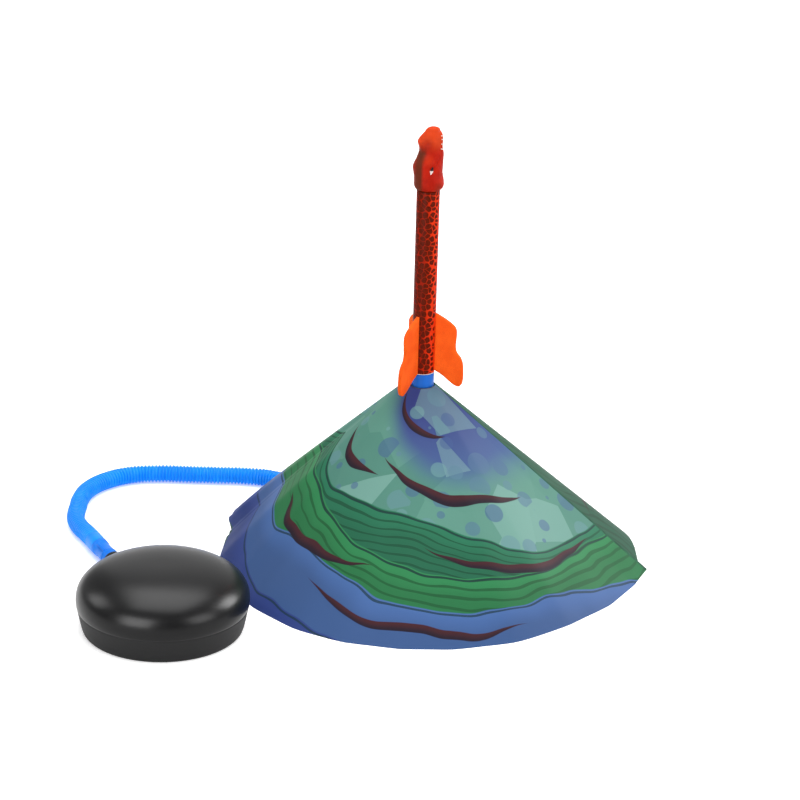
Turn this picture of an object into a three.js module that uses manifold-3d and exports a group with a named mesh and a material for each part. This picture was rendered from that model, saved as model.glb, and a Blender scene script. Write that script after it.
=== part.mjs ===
// Stomp rocket toy: a foam rocket with an animal-head nose stands on a launch tube, a tripod with a
// printed conical skirt holds the tube upright, and a ribbed hose leads from a stomp bladder to it.
// Millimetres, +Z up, floor at z = 0. The launch tube's axis is the working centre of all the pieces.

import * as THREE from 'three';
import { mergeVertices } from 'three/addons/utils/BufferGeometryUtils.js';
import Module from 'manifold-3d';

const wasm = await Module();
wasm.setup();

// Clearances
const seatGap = 0.3;             // between faces that seat on each other
const fitGap = 0.3;              // all round a plug, pin or sleeve in its hole
const slideGap = 0.4;            // all round the launch tube inside the rocket
const seamGap = 0.4;              // between the skirt's two panels
const cutMargin = 2;             // how far a cutting tool runs past the face that it opens

// Rocket
const tubeOuterRadius = 11.65;
const tubeWall = 1.05;
const tubeLength = 193;
const plugDepthInTube = 24;
const plugDepthInNose = 10;
const plugShoulder = 1.5;        // step from the plug to the thinner neck inside the nose
const noseLip = 0.75;            // how far the nose's base stands out past the tube
// Outlines of the head, each point [height above the nose's base, reach past the base's radius]
const noseBackOutline = [
  [0, 0], [3.5, 2.6], [13, 3.1], [23.5, 4.8], [31, 1.0], [40, -1.7], [49, 0.8], [54, -2.6], [60, -7.2],
];
const noseJawOutline = [
  [0, 0], [4, 2.2], [11, 1.8], [18, 0.5], [26, 1.3], [36, -0.3], [50, -0.7], [56, -2.2], [60, -5.0],
];
const noseSideOutline = [
  [0, 0], [4, 2.0], [12, 1.9], [21, 1.4], [27, 0.2], [38, -2.0], [48, -1.8], [55, -3.4], [60, -6.4],
];
const noseHeight = 63.5;
const noseTipShift = 1.1;        // the tip lies this far towards the jaw
const noseTipShare = 0.45;       // size of the flat tip against the last outlined section
const noseSections = 20;
const noseSides = 24;

// Fins: outline in the fin's own plane, [distance from the tube's skin, height above the tube's end]
const finCount = 3;
const finThickness = 4.2;
const firstFinAzimuth = -5;
const finRootBottom = 0.5;
const finRootTop = 61.5;
const finShoulder = [20.5, 45.5];
const finWaist = [22.0, 22.5];
const finLobeTop = [29.4, 7.5];
const finLobeBottom = [29.4, -6.5];
const finTip = [24.5, -16.5];
const finHeel = [18.5, -13.5];
const finShoulderRound = 4;      // height of the curve on each side of the shoulder
const finWaistRound = 4;
const finLobeDraw = 1;           // how far the lobe's upper curve stays inside its edge
const finLobeRise = 7;
const finHeelRound = 2;

// Launch tube and the collar that the rocket stands on
const launchTubeWall = 2;
const launchTubeReach = 150;     // length of launch tube inside the rocket
const collarWall = 1.2;
const collarHeight = 17;

// Skirt: a sheet cone that stands on the floor, made of a front and a back panel that meet at two side
// seams. A rim's reach past the nominal radius is given at each of its azimuths, in degrees.
const skirtThickness = 1.2;
const skirtTopHeight = 190.5;
const skirtHoleGap = 0.5;
const skirtRimRadius = 226;
const frontRimAzimuths = [172, 186, 200, 219, 231, 246, 275, 330, 344, 354];
const frontRimReach = [-23, -20, -17, -10, -5, 0, 1, 0, 6, 14];
const backRimAzimuths = [-6, 8, 40, 90, 133, 152, 158, 164, 172];
const backRimReach = [5, 7, 2, -2, -4, -4, -7, -18, -25];
const skirtStepAngle = 4.5;      // degrees between two lines of the cone
const archAzimuth = 134.2;
const archHalfWidth = 15.5;
const archHeight = 26;

// Stand hub and its hinge ears
const hubBoreGap = 0.3;
const hubBodyRadius = 20;
const hubBelowEars = 9;
const hubHeadEdge = 6;           // thickness of the head's edge
const collarSeatDepth = 5.1;     // from the skirt's top edge down to the collar's seat
const hubHeadGap = 0.4;
const legHeadGap = 4;             // from a leg's upper side to the head above it
const earThickness = 4;
const earBelowPin = 9;
const earTopReach = 2;           // how far the top of an ear reaches out past its pin
const stopLugStart = 6;          // along the leg, from the pin
const stopLugLength = 5;
const stopLugHeight = 4.2;

// Legs, their pins and feet
const legCount = 3;
const firstLegAzimuth = 73;
const hingeGap = 5;              // from the hub's body to a leg's inner end
const hingeDrop = 44.5;          // from the skirt's top edge down to the pins
const pinRadius = 2.2;
const pinHeadRadius = 4;
const pinHeadThickness = 1.6;
const legWidth = 14;
const legThickness = 9;
const legRimInset = 31;          // from the skirt's least rim in to the leg's lower end
const soleThickness = 3.5;
const footWall = 2.5;
const footEndRadius = 12;
const footSleeveLength = 18;

// Hose, its route on the floor and its end fittings
const hoseOuterRadius = 9.5;
const ribDepth = 1;
const hoseWall = 1.5;            // from the bore to the valley between two ribs
const ribPitch = 3.8;
const hoseSides = 8;
const ribsPerBoreRing = 5;
const routeDivisions = 800;      // for measuring along the route
const fittingWall = 1.9;         // of the elbow and the bladder's neck round a cuff
const fittingFloorGap = 0.2;
const hoseAzimuth = 133;         // direction in which the hose leaves the stand
const cuffRadius = 8.8;
const cuffSpigotWall = 1.2;
const cuffPlugLength = 18;
const cuffShownLength = 30;
const cuffSpigotLength = 15;
const hoseRoute = [
  [-48.1, 51.6, 11.2], [-63, 67.6, 11.0], [-80, 85.8, 10.4], [-107, 114.8, 9.8], [-133.7, 143.4, 9.8],
  [-160.3, 162.2, 9.8], [-192.2, 168.8, 9.8], [-222, 169, 9.8], [-252, 169, 9.8], [-283, 169, 9.8],
  [-313.6, 162.9, 9.8], [-339.6, 145.6, 9.8], [-356.9, 119.6, 9.8], [-363, 89, 9.8], [-363, 72, 9.8],
  [-363, 55, 9.8], [-360.9, 36.6, 9.8], [-354.5, 19.2, 9.8], [-345.3, 2.3, 10.3], [-336.6, -15.2, 11.0],
  [-328.2, -31.9, 11.2],
];

// Elbow under the stand
const elbowBendRadius = 20;
const elbowSocketWall = 2.5;
const elbowSocketDepth = 24;
const elbowFloorThickness = 4;
const airBoreRadius = 6;

// Stomp bladder
const bladderCentre = [-248.5, -191.4];
const bladderWallRadius = 81.5;
const bladderOverhang = 3.5;     // of the dome past the wall
const bladderCreaseHeight = 25;
const bladderCreaseLip = 1;
const bladderEquatorHeight = 31;
const bladderHeight = 69;
const bladderThickness = 3;
const bladderBottomRound = 3;
const domeSquareness = 2.4;      // exponent of the dome's superellipse
const capWallGap = 1.5;          // from the cap's edge to the wall that it slides down in
const capGap = 0.4;              // from the cap's edge to the pan's shoulder round it

// Facets
const fineSides = 40;
const tubeSides = 24;
const smallSides = 16;
const plateCurveSteps = 6;
const archCurveSteps = 8;
const elbowSteps = 14;
const shoulderSteps = 4;
const capSteps = 7;

// Sizes that follow from the ones above
const tubeInnerRadius = tubeOuterRadius - tubeWall;
const plugNeckRadius = tubeInnerRadius - fitGap - plugShoulder;
const noseBaseRadius = tubeOuterRadius + noseLip;
const launchTubeRadius = tubeInnerRadius - slideGap;
const collarInnerRadius = launchTubeRadius + fitGap;
const collarOuterRadius = collarInnerRadius + collarWall;
const skirtHoleRadius = collarOuterRadius + skirtHoleGap;
const skirtSlopeTo = (rim) => skirtTopHeight / (rim - skirtHoleRadius);
const skirtDropAt = (slope) => skirtThickness * Math.hypot(1, slope);
const leastRim = skirtRimRadius + Math.min(...frontRimReach, ...backRimReach);
const steepSlope = skirtSlopeTo(leastRim);
const headTop = skirtTopHeight - skirtDropAt(steepSlope) - hubHeadGap;
const collarSeatHeight = skirtTopHeight - collarSeatDepth;
const collarBottom = collarSeatHeight + seatGap;
const collarTop = collarBottom + collarHeight;
const tubeBottom = collarTop + seatGap;
const tubeTop = tubeBottom + tubeLength;
const noseBase = tubeTop + seatGap;
const cuffSocketRadius = cuffRadius + fitGap;
const fittingRadius = cuffSocketRadius + fittingWall;
const fittingHeight = fittingRadius + fittingFloorGap;
const elbowSocketFloor = fittingHeight + elbowBendRadius + elbowFloorThickness;
const launchTubeBottom = elbowSocketFloor + seatGap;
const launchTubeTop = tubeBottom + launchTubeReach;
const hingeRadius = hubBodyRadius + hingeGap + legWidth / 2;
const hingeHeight = skirtTopHeight - hingeDrop;
const legFootRadius = leastRim - legRimInset;
const legEndHeight = legWidth / 2 + soleThickness;
const legLength = Math.hypot(legFootRadius - hingeRadius, hingeHeight - legEndHeight);
const legSlope = Math.atan2(hingeHeight - legEndHeight, legFootRadius - hingeRadius);
const earInnerFace = legThickness / 2 + fitGap;
const earOuterFace = earInnerFace + earThickness;
const earBottom = hingeHeight - earBelowPin;
const headBottom = hingeHeight + legWidth / 2 + legHeadGap;
const headRadius = skirtHoleRadius + (headTop - headBottom - hubHeadEdge) / steepSlope;
const hoseValleyRadius = hoseOuterRadius - ribDepth;
const hoseBoreRadius = hoseValleyRadius - hoseWall;
const cuffSpigotRadius = hoseBoreRadius * Math.cos(Math.PI / hoseSides) - fitGap;
const cuffBoreRadius = cuffSpigotRadius - cuffSpigotWall;
const elbowEnd = Math.hypot(hoseRoute[0][0], hoseRoute[0][1]) - seatGap - cuffShownLength;
const hoseEnd = hoseRoute[hoseRoute.length - 1];
const hoseEndOffset = new THREE.Vector2(hoseEnd[0] - bladderCentre[0], hoseEnd[1] - bladderCentre[1]);
const neckEnd = hoseEndOffset.length() - seatGap - cuffShownLength;
const neckTurn = hoseEndOffset.angle();
const bladderRadius = bladderWallRadius + bladderOverhang;
const bladderInnerWall = bladderWallRadius - bladderThickness;
const capRadius = bladderInnerWall - capWallGap;

const radians = THREE.MathUtils.degToRad;

// Materials
const finish = (color, roughness, metalness = 0) =>
  new THREE.MeshStandardMaterial({ color, roughness, metalness });
const noseVinyl = finish(0xc8330f, 0.5);
const tubePrint = finish(0xb02a12, 0.35);
const finFoam = finish(0xff6414, 0.8);
const bluePlastic = finish(0x1e64d7, 0.4);
const hosePlastic = finish(0x0a82ff, 0.45);
const skirtPrint = finish(0x3f8f86, 0.3);
const standPlastic = finish(0x2b2d33, 0.55);
const footRubber = finish(0x141414, 0.85);
const pinSteel = finish(0xb8bcc2, 0.3, 1);
const bladderRubber = finish(0x1d1d1f, 0.42);

// Closed triangle meshes

// Merges the shared points, drops flat triangles and turns the faces outwards.
function closedGeometry(source) {
  const bare = source.index ? source.toNonIndexed() : source.clone();
  for (const name of Object.keys(bare.attributes)) {
    if (name !== 'position') bare.deleteAttribute(name);
  }
  const merged = mergeVertices(bare, 1e-4);
  const index = merged.index.array;
  const points = merged.attributes.position;
  const corners = [0, 1, 2].map(() => new THREE.Vector3());
  const kept = [];
  let volume = 0;
  for (let i = 0; i < index.length; i += 3) {
    const face = [index[i], index[i + 1], index[i + 2]];
    if (face[0] === face[1] || face[1] === face[2] || face[2] === face[0]) continue;
    face.forEach((point, k) => corners[k].fromBufferAttribute(points, point));
    volume += corners[0].dot(corners[1].clone().cross(corners[2])) / 6;
    kept.push(...face);
  }
  if (volume < 0) kept.reverse();
  merged.setIndex(kept);
  return merged;
}

function toSolid(geometry) {
  const closed = closedGeometry(geometry);
  return new wasm.Manifold(new wasm.Mesh({
    numProp: 3,
    vertProperties: new Float32Array(closed.attributes.position.array),
    triVerts: new Uint32Array(closed.index.array),
  }));
}

function toGeometry(solid) {
  const mesh = solid.getMesh();
  const geometry = new THREE.BufferGeometry();
  geometry.setAttribute('position', new THREE.BufferAttribute(new Float32Array(mesh.vertProperties), 3));
  geometry.setIndex(Array.from(mesh.triVerts));
  return geometry;
}

const cut = (body, ...tools) =>
  toGeometry(tools.reduce((solid, tool) => solid.subtract(toSolid(tool)), toSolid(body)));
const join = (body, ...more) =>
  toGeometry(more.reduce((solid, piece) => solid.add(toSolid(piece)), toSolid(body)));
const overlapOf = (first, second) => toGeometry(toSolid(first).intersect(toSolid(second)));

// A turned piece about +Z from [radius, height] points.
function turned(profile, sides) {
  const points = profile.map(([radius, height]) => new THREE.Vector2(radius, height));
  return closedGeometry(new THREE.LatheGeometry(points, sides).rotateX(Math.PI / 2));
}

// A turned ring or sleeve, whose profile closes on itself.
const turnedRing = (profile, sides) => turned([...profile, profile[0]], sides);
const turnedRod = (radius, bottom, top, sides) =>
  turned([[0, bottom], [radius, bottom], [radius, top], [0, top]], sides);
const turnedSleeve = (inner, outer, bottom, top, sides) =>
  turnedRing([[inner, bottom], [outer, bottom], [outer, top], [inner, top]], sides);

// A plate drawn in the upright plane through the axis (x outwards, y up), centred on that plane.
function uprightPlate(shape, thickness) {
  const form = { depth: thickness, bevelEnabled: false, curveSegments: plateCurveSteps };
  const plate = new THREE.ExtrudeGeometry(shape, form);
  return closedGeometry(plate.translate(0, 0, -thickness / 2).rotateX(Math.PI / 2));
}

// A skin over rings of equally many points: the rings join end to end, or the two ends are closed.
function skinOver(rings, joinedEnds) {
  const count = rings[0].length;
  const points = rings.flat();
  const faces = [];
  const bands = joinedEnds ? rings.length : rings.length - 1;
  for (let i = 0; i < bands; i += 1) {
    const lower = i * count;
    const upper = ((i + 1) % rings.length) * count;
    for (let j = 0; j < count; j += 1) {
      const next = (j + 1) % count;
      faces.push(lower + j, lower + next, upper + next, lower + j, upper + next, upper + j);
    }
  }
  if (!joinedEnds) {
    for (const [start, turn] of [[0, -1], [(rings.length - 1) * count, 1]]) {
      const centre = points.slice(start, start + count)
        .reduce((sum, point) => sum.add(point), new THREE.Vector3()).divideScalar(count);
      points.push(centre);
      for (let j = 0; j < count; j += 1) {
        const edge = [start + j, start + (j + 1) % count];
        if (turn < 0) edge.reverse();
        faces.push(edge[0], edge[1], points.length - 1);
      }
    }
  }
  const geometry = new THREE.BufferGeometry().setFromPoints(points);
  geometry.setIndex(faces);
  return closedGeometry(geometry);
}

const part = new THREE.Group();
const launcher = new THREE.Group();
part.add(launcher);

function addPiece(parent, name, geometry, material) {
  const mesh = new THREE.Mesh(geometry, material);
  mesh.name = name;
  parent.add(mesh);
  return mesh;
}

// A group turned about the launch axis, so that its +X points along an azimuth.
function groupAt(azimuth) {
  const group = new THREE.Group();
  group.rotation.z = radians(azimuth);
  launcher.add(group);
  return group;
}

// Value of a smooth outline at a height along it.
function outlineReach(outline, height) {
  const curve = new THREE.SplineCurve(outline.map(([along, reach]) => new THREE.Vector2(along, reach)));
  const point = new THREE.Vector2();
  let low = 0;
  let high = 1;
  for (let step = 0; step < 30; step += 1) {
    const middle = (low + high) / 2;
    curve.getPoint(middle, point);
    if (point.x < height) low = middle;
    else high = middle;
  }
  return curve.getPoint((low + high) / 2, point).y;
}

// Rocket

// The head looks upwards: its back faces -X, its jaw +X.
function noseGeometry() {
  const lastOutlined = noseBackOutline[noseBackOutline.length - 1][0];
  const rings = [];
  for (let i = 0; i <= noseSections; i += 1) {
    const height = lastOutlined * i / noseSections;
    const back = noseBaseRadius + outlineReach(noseBackOutline, height);
    const jaw = noseBaseRadius + outlineReach(noseJawOutline, height);
    const side = noseBaseRadius + outlineReach(noseSideOutline, height);
    const ring = [];
    for (let j = 0; j < noseSides; j += 1) {
      const angle = 2 * Math.PI * j / noseSides;
      const reach = Math.cos(angle) > 0 ? jaw : back;
      ring.push(new THREE.Vector3(reach * Math.cos(angle), side * Math.sin(angle), noseBase + height));
    }
    rings.push(ring);
  }
  const tip = new THREE.Vector3(noseTipShift, 0, 0);
  const lastRing = rings[rings.length - 1];
  rings.push(lastRing.map((point) => tip.clone().lerp(point, noseTipShare).setZ(noseBase + noseHeight)));
  const head = skinOver(rings, false);
  const socketRadius = plugNeckRadius + fitGap;
  const socketTop = noseBase + plugDepthInNose + seatGap;
  return cut(head, turnedRod(socketRadius, noseBase - cutMargin, socketTop, tubeSides));
}

function plugGeometry() {
  const radius = tubeInnerRadius - fitGap;
  const bottom = tubeTop - plugDepthInTube;
  const top = noseBase + plugDepthInNose;
  return turned([
    [0, bottom], [radius, bottom], [radius, tubeTop],
    [plugNeckRadius, tubeTop], [plugNeckRadius, top], [0, top],
  ], tubeSides);
}

function finGeometry() {
  const skin = tubeOuterRadius + fitGap;
  const at = ([out, up]) => [skin + out, tubeBottom + up];
  const shape = new THREE.Shape();
  shape.moveTo(...at([0, finRootBottom]));
  shape.lineTo(...at([0, finRootTop]));
  const curveTo = (corner, end) => shape.quadraticCurveTo(...at(corner), ...at(end));
  const [shoulderOut, shoulderUp] = finShoulder;
  curveTo([shoulderOut, shoulderUp + finShoulderRound], [shoulderOut, shoulderUp - finShoulderRound]);
  curveTo([shoulderOut, finWaist[1] + finWaistRound], finWaist);
  curveTo([finLobeTop[0] - finLobeDraw, finLobeTop[1] + finLobeRise], finLobeTop);
  shape.lineTo(...at(finLobeBottom));
  curveTo([finLobeBottom[0], finTip[1]], finTip);
  curveTo([finHeel[0] + finHeelRound, finTip[1]], finHeel);
  shape.closePath();
  return uprightPlate(shape, finThickness);
}

addPiece(launcher, 'rocket_nose', noseGeometry(), noseVinyl);
addPiece(launcher, 'nose_plug', plugGeometry(), finFoam);
addPiece(launcher, 'rocket_tube',
  turnedSleeve(tubeInnerRadius, tubeOuterRadius, tubeBottom, tubeTop, tubeSides), tubePrint);
for (let i = 0; i < finCount; i += 1) {
  addPiece(groupAt(firstFinAzimuth + i * 360 / finCount), `fin_${i + 1}`, finGeometry(), finFoam);
}

// Launch tube and collar

const launchTubeBore = launchTubeRadius - launchTubeWall;
addPiece(launcher, 'launch_tube',
  turnedSleeve(launchTubeBore, launchTubeRadius, launchTubeBottom, launchTubeTop, tubeSides), bluePlastic);
addPiece(launcher, 'launch_collar',
  turnedSleeve(collarInnerRadius, collarOuterRadius, collarBottom, collarTop, tubeSides), bluePlastic);

// Skirt

// Radius of a panel's rim at an azimuth, along straight stretches between its points.
function rimRadius(azimuths, reach, azimuth) {
  const next = Math.max(1, azimuths.findIndex((at) => at >= azimuth));
  const [from, to] = azimuths.slice(next - 1, next + 1);
  return skirtRimRadius + THREE.MathUtils.mapLinear(azimuth, from, to, reach[next - 1], reach[next]);
}

// One panel from seam to seam. Each section runs down the outer skin to the rim and back up the inner
// skin, and the two end sections stand half a seam gap inside the seams.
function panelGeometry(azimuths, reach) {
  const first = azimuths[0];
  const last = azimuths[azimuths.length - 1];
  const steps = Math.ceil((last - first) / skirtStepAngle);
  const upAxis = new THREE.Vector3(0, 0, 1);
  const sections = Array.from({ length: steps + 1 }, (_, i) => {
    const azimuth = THREE.MathUtils.lerp(first, last, i / steps);
    const radius = rimRadius(azimuths, reach, azimuth);
    const slope = skirtSlopeTo(radius);
    const drop = skirtDropAt(slope);
    const section = [
      [skirtHoleRadius, skirtTopHeight], [radius, 0], [radius - drop / slope, 0],
      [skirtHoleRadius, skirtTopHeight - drop],
    ];
    const aside = ((i === 0) - (i === steps)) * seamGap / 2;
    const turn = radians(azimuth);
    return section.map(([out, up]) => new THREE.Vector3(out, aside, up).applyAxisAngle(upAxis, turn));
  });
  return skinOver(sections, false);
}

// The tool that cuts the arch for the hose, from half the rim's radius outwards.
function archTool() {
  const arch = new THREE.Shape();
  arch.moveTo(-archHalfWidth, -cutMargin);
  arch.lineTo(archHalfWidth, -cutMargin);
  arch.lineTo(archHalfWidth, archHeight - archHalfWidth);
  arch.absarc(0, archHeight - archHalfWidth, archHalfWidth, 0, Math.PI, false);
  arch.closePath();
  const form = { depth: skirtRimRadius, bevelEnabled: false, curveSegments: archCurveSteps };
  return new THREE.ExtrudeGeometry(arch, form)
    .rotateX(Math.PI / 2)
    .rotateZ(Math.PI / 2)
    .translate(skirtRimRadius / 2, 0, 0)
    .rotateZ(radians(archAzimuth));
}

const backPanel = panelGeometry(backRimAzimuths, backRimReach);
addPiece(launcher, 'skirt_front', panelGeometry(frontRimAzimuths, frontRimReach), skirtPrint);
addPiece(launcher, 'skirt_back', cut(backPanel, archTool()), skirtPrint);

// Stand: hub, hinge pins, legs and feet

function hubGeometry() {
  const bore = launchTubeRadius + hubBoreGap;
  const recess = collarOuterRadius + fitGap;
  const bottom = earBottom - hubBelowEars;
  const recessTop = headTop - steepSlope * (recess - skirtHoleRadius);
  const body = turnedRing([
    [bore, bottom], [hubBodyRadius, bottom], [hubBodyRadius, headBottom],
    [headRadius, headBottom], [headRadius, headBottom + hubHeadEdge],
    [recess, recessTop], [recess, collarSeatHeight], [bore, collarSeatHeight],
  ], tubeSides);
  const alongLeg = (distance, above) => [
    hingeRadius + distance * Math.cos(legSlope) + above * Math.sin(legSlope),
    hingeHeight - distance * Math.sin(legSlope) + above * Math.cos(legSlope),
  ];
  const lugBottom = legWidth / 2 + seatGap;
  const lugTop = lugBottom + stopLugHeight;
  const lugCorners = [
    alongLeg(stopLugStart, lugBottom), alongLeg(stopLugStart + stopLugLength, lugBottom),
    alongLeg(stopLugStart + stopLugLength, lugTop), alongLeg(stopLugStart, lugTop),
  ];
  const rootRadius = (bore + hubBodyRadius) / 2;
  const earTop = headBottom + hubHeadEdge / 2;
  const earCorners = [
    [rootRadius, earBottom], [hingeRadius, earBottom], lugCorners[1], lugCorners[2], lugCorners[3],
    [hingeRadius + earTopReach, earTop], [rootRadius, earTop],
  ];
  const outline = (corners) => new THREE.Shape(corners.map(([out, up]) => new THREE.Vector2(out, up)));
  const ear = uprightPlate(outline(earCorners), earThickness);
  const lug = uprightPlate(outline(lugCorners), 2 * earOuterFace);
  const holeEnd = earOuterFace + cutMargin;
  const pinHole = turnedRod(pinRadius + fitGap, -holeEnd, holeEnd, smallSides)
    .rotateX(Math.PI / 2)
    .translate(hingeRadius, 0, hingeHeight);
  const middle = (earInnerFace + earOuterFace) / 2;
  let hub = body;
  for (let i = 0; i < legCount; i += 1) {
    const turn = radians(firstLegAzimuth + i * 360 / legCount);
    const ears = join(ear.clone().translate(0, middle, 0), ear.clone().translate(0, -middle, 0), lug);
    hub = join(hub, cut(ears, pinHole).rotateZ(turn));
  }
  return hub;
}

// A bar with round ends in the leg's plane, from one distance along the leg to another.
function legBar(start, end, halfWidth, endRadius) {
  const bar = new THREE.Shape();
  bar.moveTo(end, -halfWidth);
  bar.absarc(end, 0, endRadius, -Math.asin(halfWidth / endRadius), Math.asin(halfWidth / endRadius), false);
  bar.lineTo(start, halfWidth);
  return bar;
}

const placeOnLeg = (geometry) =>
  geometry.rotateY(legSlope).translate(hingeRadius, 0, hingeHeight);

function legGeometry(grow) {
  const half = legWidth / 2 + grow;
  const bar = legBar(0, legLength, half, half);
  bar.absarc(0, 0, half, Math.PI / 2, 3 * Math.PI / 2, false);
  bar.closePath();
  if (grow === 0) {
    const eye = new THREE.Path();
    eye.absarc(0, 0, pinRadius + fitGap, 0, 2 * Math.PI, true);
    bar.holes.push(eye);
  }
  return placeOnLeg(uprightPlate(bar, legThickness + 2 * grow));
}

function footGeometry() {
  const half = legWidth / 2 + fitGap + footWall;
  const boot = legBar(legLength - footSleeveLength, legLength, half, footEndRadius);
  boot.lineTo(legLength - footSleeveLength, -half);
  boot.closePath();
  const whole = placeOnLeg(uprightPlate(boot, legThickness + 2 * (fitGap + footWall)));
  const aboveFloor = new THREE.BoxGeometry(2 * legFootRadius, legFootRadius, hingeHeight)
    .translate(legFootRadius, 0, hingeHeight / 2);
  return cut(overlapOf(whole, aboveFloor), legGeometry(fitGap));
}

function pinGeometry() {
  const half = earOuterFace + seatGap;
  const shank = turnedRod(pinRadius, -half, half, smallSides);
  const head = turnedRod(pinHeadRadius, half, half + pinHeadThickness, smallSides);
  const tail = turnedRod(pinHeadRadius, -half - pinHeadThickness, -half, smallSides);
  return join(shank, head, tail).rotateX(Math.PI / 2).translate(hingeRadius, 0, hingeHeight);
}

addPiece(launcher, 'stand_hub', hubGeometry(), standPlastic);
for (let i = 0; i < legCount; i += 1) {
  const spoke = groupAt(firstLegAzimuth + i * 360 / legCount);
  addPiece(spoke, `leg_pin_${i + 1}`, pinGeometry(), pinSteel);
  addPiece(spoke, `leg_${i + 1}`, legGeometry(0), standPlastic);
  addPiece(spoke, `foot_${i + 1}`, footGeometry(), footRubber);
}

// Elbow from the launch tube to the hose

function elbowPath(start, end) {
  const path = new THREE.CurvePath();
  const top = new THREE.Vector3(0, 0, start);
  const bendTop = new THREE.Vector3(0, 0, fittingHeight + elbowBendRadius);
  const corner = new THREE.Vector3(0, 0, fittingHeight);
  const bendEnd = new THREE.Vector3(elbowBendRadius, 0, fittingHeight);
  path.add(new THREE.LineCurve3(top, bendTop));
  path.add(new THREE.QuadraticBezierCurve3(bendTop, corner, bendEnd));
  path.add(new THREE.LineCurve3(bendEnd, new THREE.Vector3(end, 0, fittingHeight)));
  return path;
}

function pipeAlong(path, radius) {
  const section = new THREE.Shape();
  section.absarc(0, 0, radius, 0, 2 * Math.PI, false);
  const pipe = { steps: elbowSteps, bevelEnabled: false, curveSegments: smallSides / 2, extrudePath: path };
  return closedGeometry(new THREE.ExtrudeGeometry(section, pipe));
}

function elbowGeometry() {
  const socketTop = elbowSocketFloor + elbowSocketDepth;
  const socketRadius = launchTubeRadius + fitGap;
  const body = join(
    pipeAlong(elbowPath(elbowSocketFloor + cutMargin, elbowEnd), fittingRadius),
    turnedRod(socketRadius + elbowSocketWall, elbowSocketFloor - elbowFloorThickness, socketTop, tubeSides),
  );
  const cuffSocket = turnedRod(cuffSocketRadius, 0, cuffPlugLength + seatGap + cutMargin, tubeSides)
    .rotateY(Math.PI / 2)
    .translate(elbowEnd - cuffPlugLength - seatGap, 0, fittingHeight);
  return cut(
    body,
    turnedRod(socketRadius, elbowSocketFloor, socketTop + cutMargin, tubeSides),
    pipeAlong(elbowPath(elbowSocketFloor + cutMargin, elbowEnd - cuffPlugLength + cutMargin), airBoreRadius),
    cuffSocket,
  );
}

// A cuff along +Z: plug at 0, then the shown sleeve, then the spigot inside the hose.
function cuffGeometry() {
  const sleeveEnd = cuffPlugLength + cuffShownLength;
  const spigotEnd = sleeveEnd + cuffSpigotLength;
  return turnedRing([
    [cuffBoreRadius, 0], [cuffRadius, 0], [cuffRadius, sleeveEnd], [cuffSpigotRadius, sleeveEnd],
    [cuffSpigotRadius, spigotEnd], [cuffBoreRadius, spigotEnd],
  ], tubeSides);
}

addPiece(groupAt(hoseAzimuth), 'hose_elbow', elbowGeometry(), standPlastic);
addPiece(groupAt(hoseAzimuth), 'hose_cuff_launcher',
  cuffGeometry().rotateY(Math.PI / 2).translate(elbowEnd - cuffPlugLength, 0, fittingHeight), bluePlastic);

// Ribbed hose with its bore: plain ends one diameter long, ribs between them

function hoseGeometry() {
  const route = new THREE.CatmullRomCurve3(hoseRoute.map((point) => new THREE.Vector3(...point)));
  route.arcLengthDivisions = routeDivisions;
  const length = route.getLength();
  const plainEnd = 2 * hoseOuterRadius;
  const ribs = Math.floor((length - 2 * plainEnd) / ribPitch);
  const firstRib = (length - ribs * ribPitch) / 2;
  const up = new THREE.Vector3(0, 0, 1);
  const ringAt = (distance, radius) => {
    const share = THREE.MathUtils.clamp(distance / length, 0, 1);
    const centre = route.getPointAt(share);
    const side = route.getTangentAt(share).cross(up).normalize();
    const above = side.clone().cross(route.getTangentAt(share));
    return Array.from({ length: hoseSides }, (_, j) => {
      const angle = 2 * Math.PI * (j + 0.5) / hoseSides;
      return centre.clone()
        .addScaledVector(side, radius * Math.cos(angle))
        .addScaledVector(above, radius * Math.sin(angle));
    });
  };
  const rings = [ringAt(0, hoseOuterRadius), ringAt(firstRib - ribPitch / 2, hoseOuterRadius)];
  for (let i = 0; i < ribs; i += 1) {
    rings.push(ringAt(firstRib + i * ribPitch, hoseValleyRadius));
    rings.push(ringAt(firstRib + (i + 0.5) * ribPitch, hoseOuterRadius));
  }
  rings.push(ringAt(firstRib + ribs * ribPitch, hoseValleyRadius));
  rings.push(ringAt(length - firstRib + ribPitch / 2, hoseOuterRadius));
  rings.push(ringAt(length, hoseOuterRadius));
  const boreRings = Math.ceil(length / (ribsPerBoreRing * ribPitch));
  for (let i = boreRings; i >= 0; i -= 1) rings.push(ringAt(length * i / boreRings, hoseBoreRadius));
  return skinOver(rings, true);
}

const hose = addPiece(launcher, 'hose', hoseGeometry(), hosePlastic);

// Stomp bladder: a pan with the neck for the hose, and the dome's cap that a foot drives down

const bladder = new THREE.Group();
bladder.position.set(bladderCentre[0], bladderCentre[1], 0);
launcher.add(bladder);

// Height of the dome's outer skin at a radius.
function domeHeight(radius) {
  const share = Math.min(1, radius / bladderRadius);
  const rise = (1 - share ** domeSquareness) ** (1 / domeSquareness);
  return bladderEquatorHeight + (bladderHeight - bladderEquatorHeight) * rise;
}

// Points of the dome between two radii, from the outer radius inwards, at equal steps of the turn.
function domeArc(outerRadius, innerRadius, steps) {
  const angleAt = (radius) => Math.acos((radius / bladderRadius) ** (domeSquareness / 2));
  const start = angleAt(outerRadius);
  const end = angleAt(innerRadius);
  return Array.from({ length: steps + 1 }, (_, i) => {
    const angle = THREE.MathUtils.lerp(start, end, i / steps);
    const radius = bladderRadius * Math.max(0, Math.cos(angle)) ** (2 / domeSquareness);
    return [radius, domeHeight(radius)];
  });
}

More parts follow.
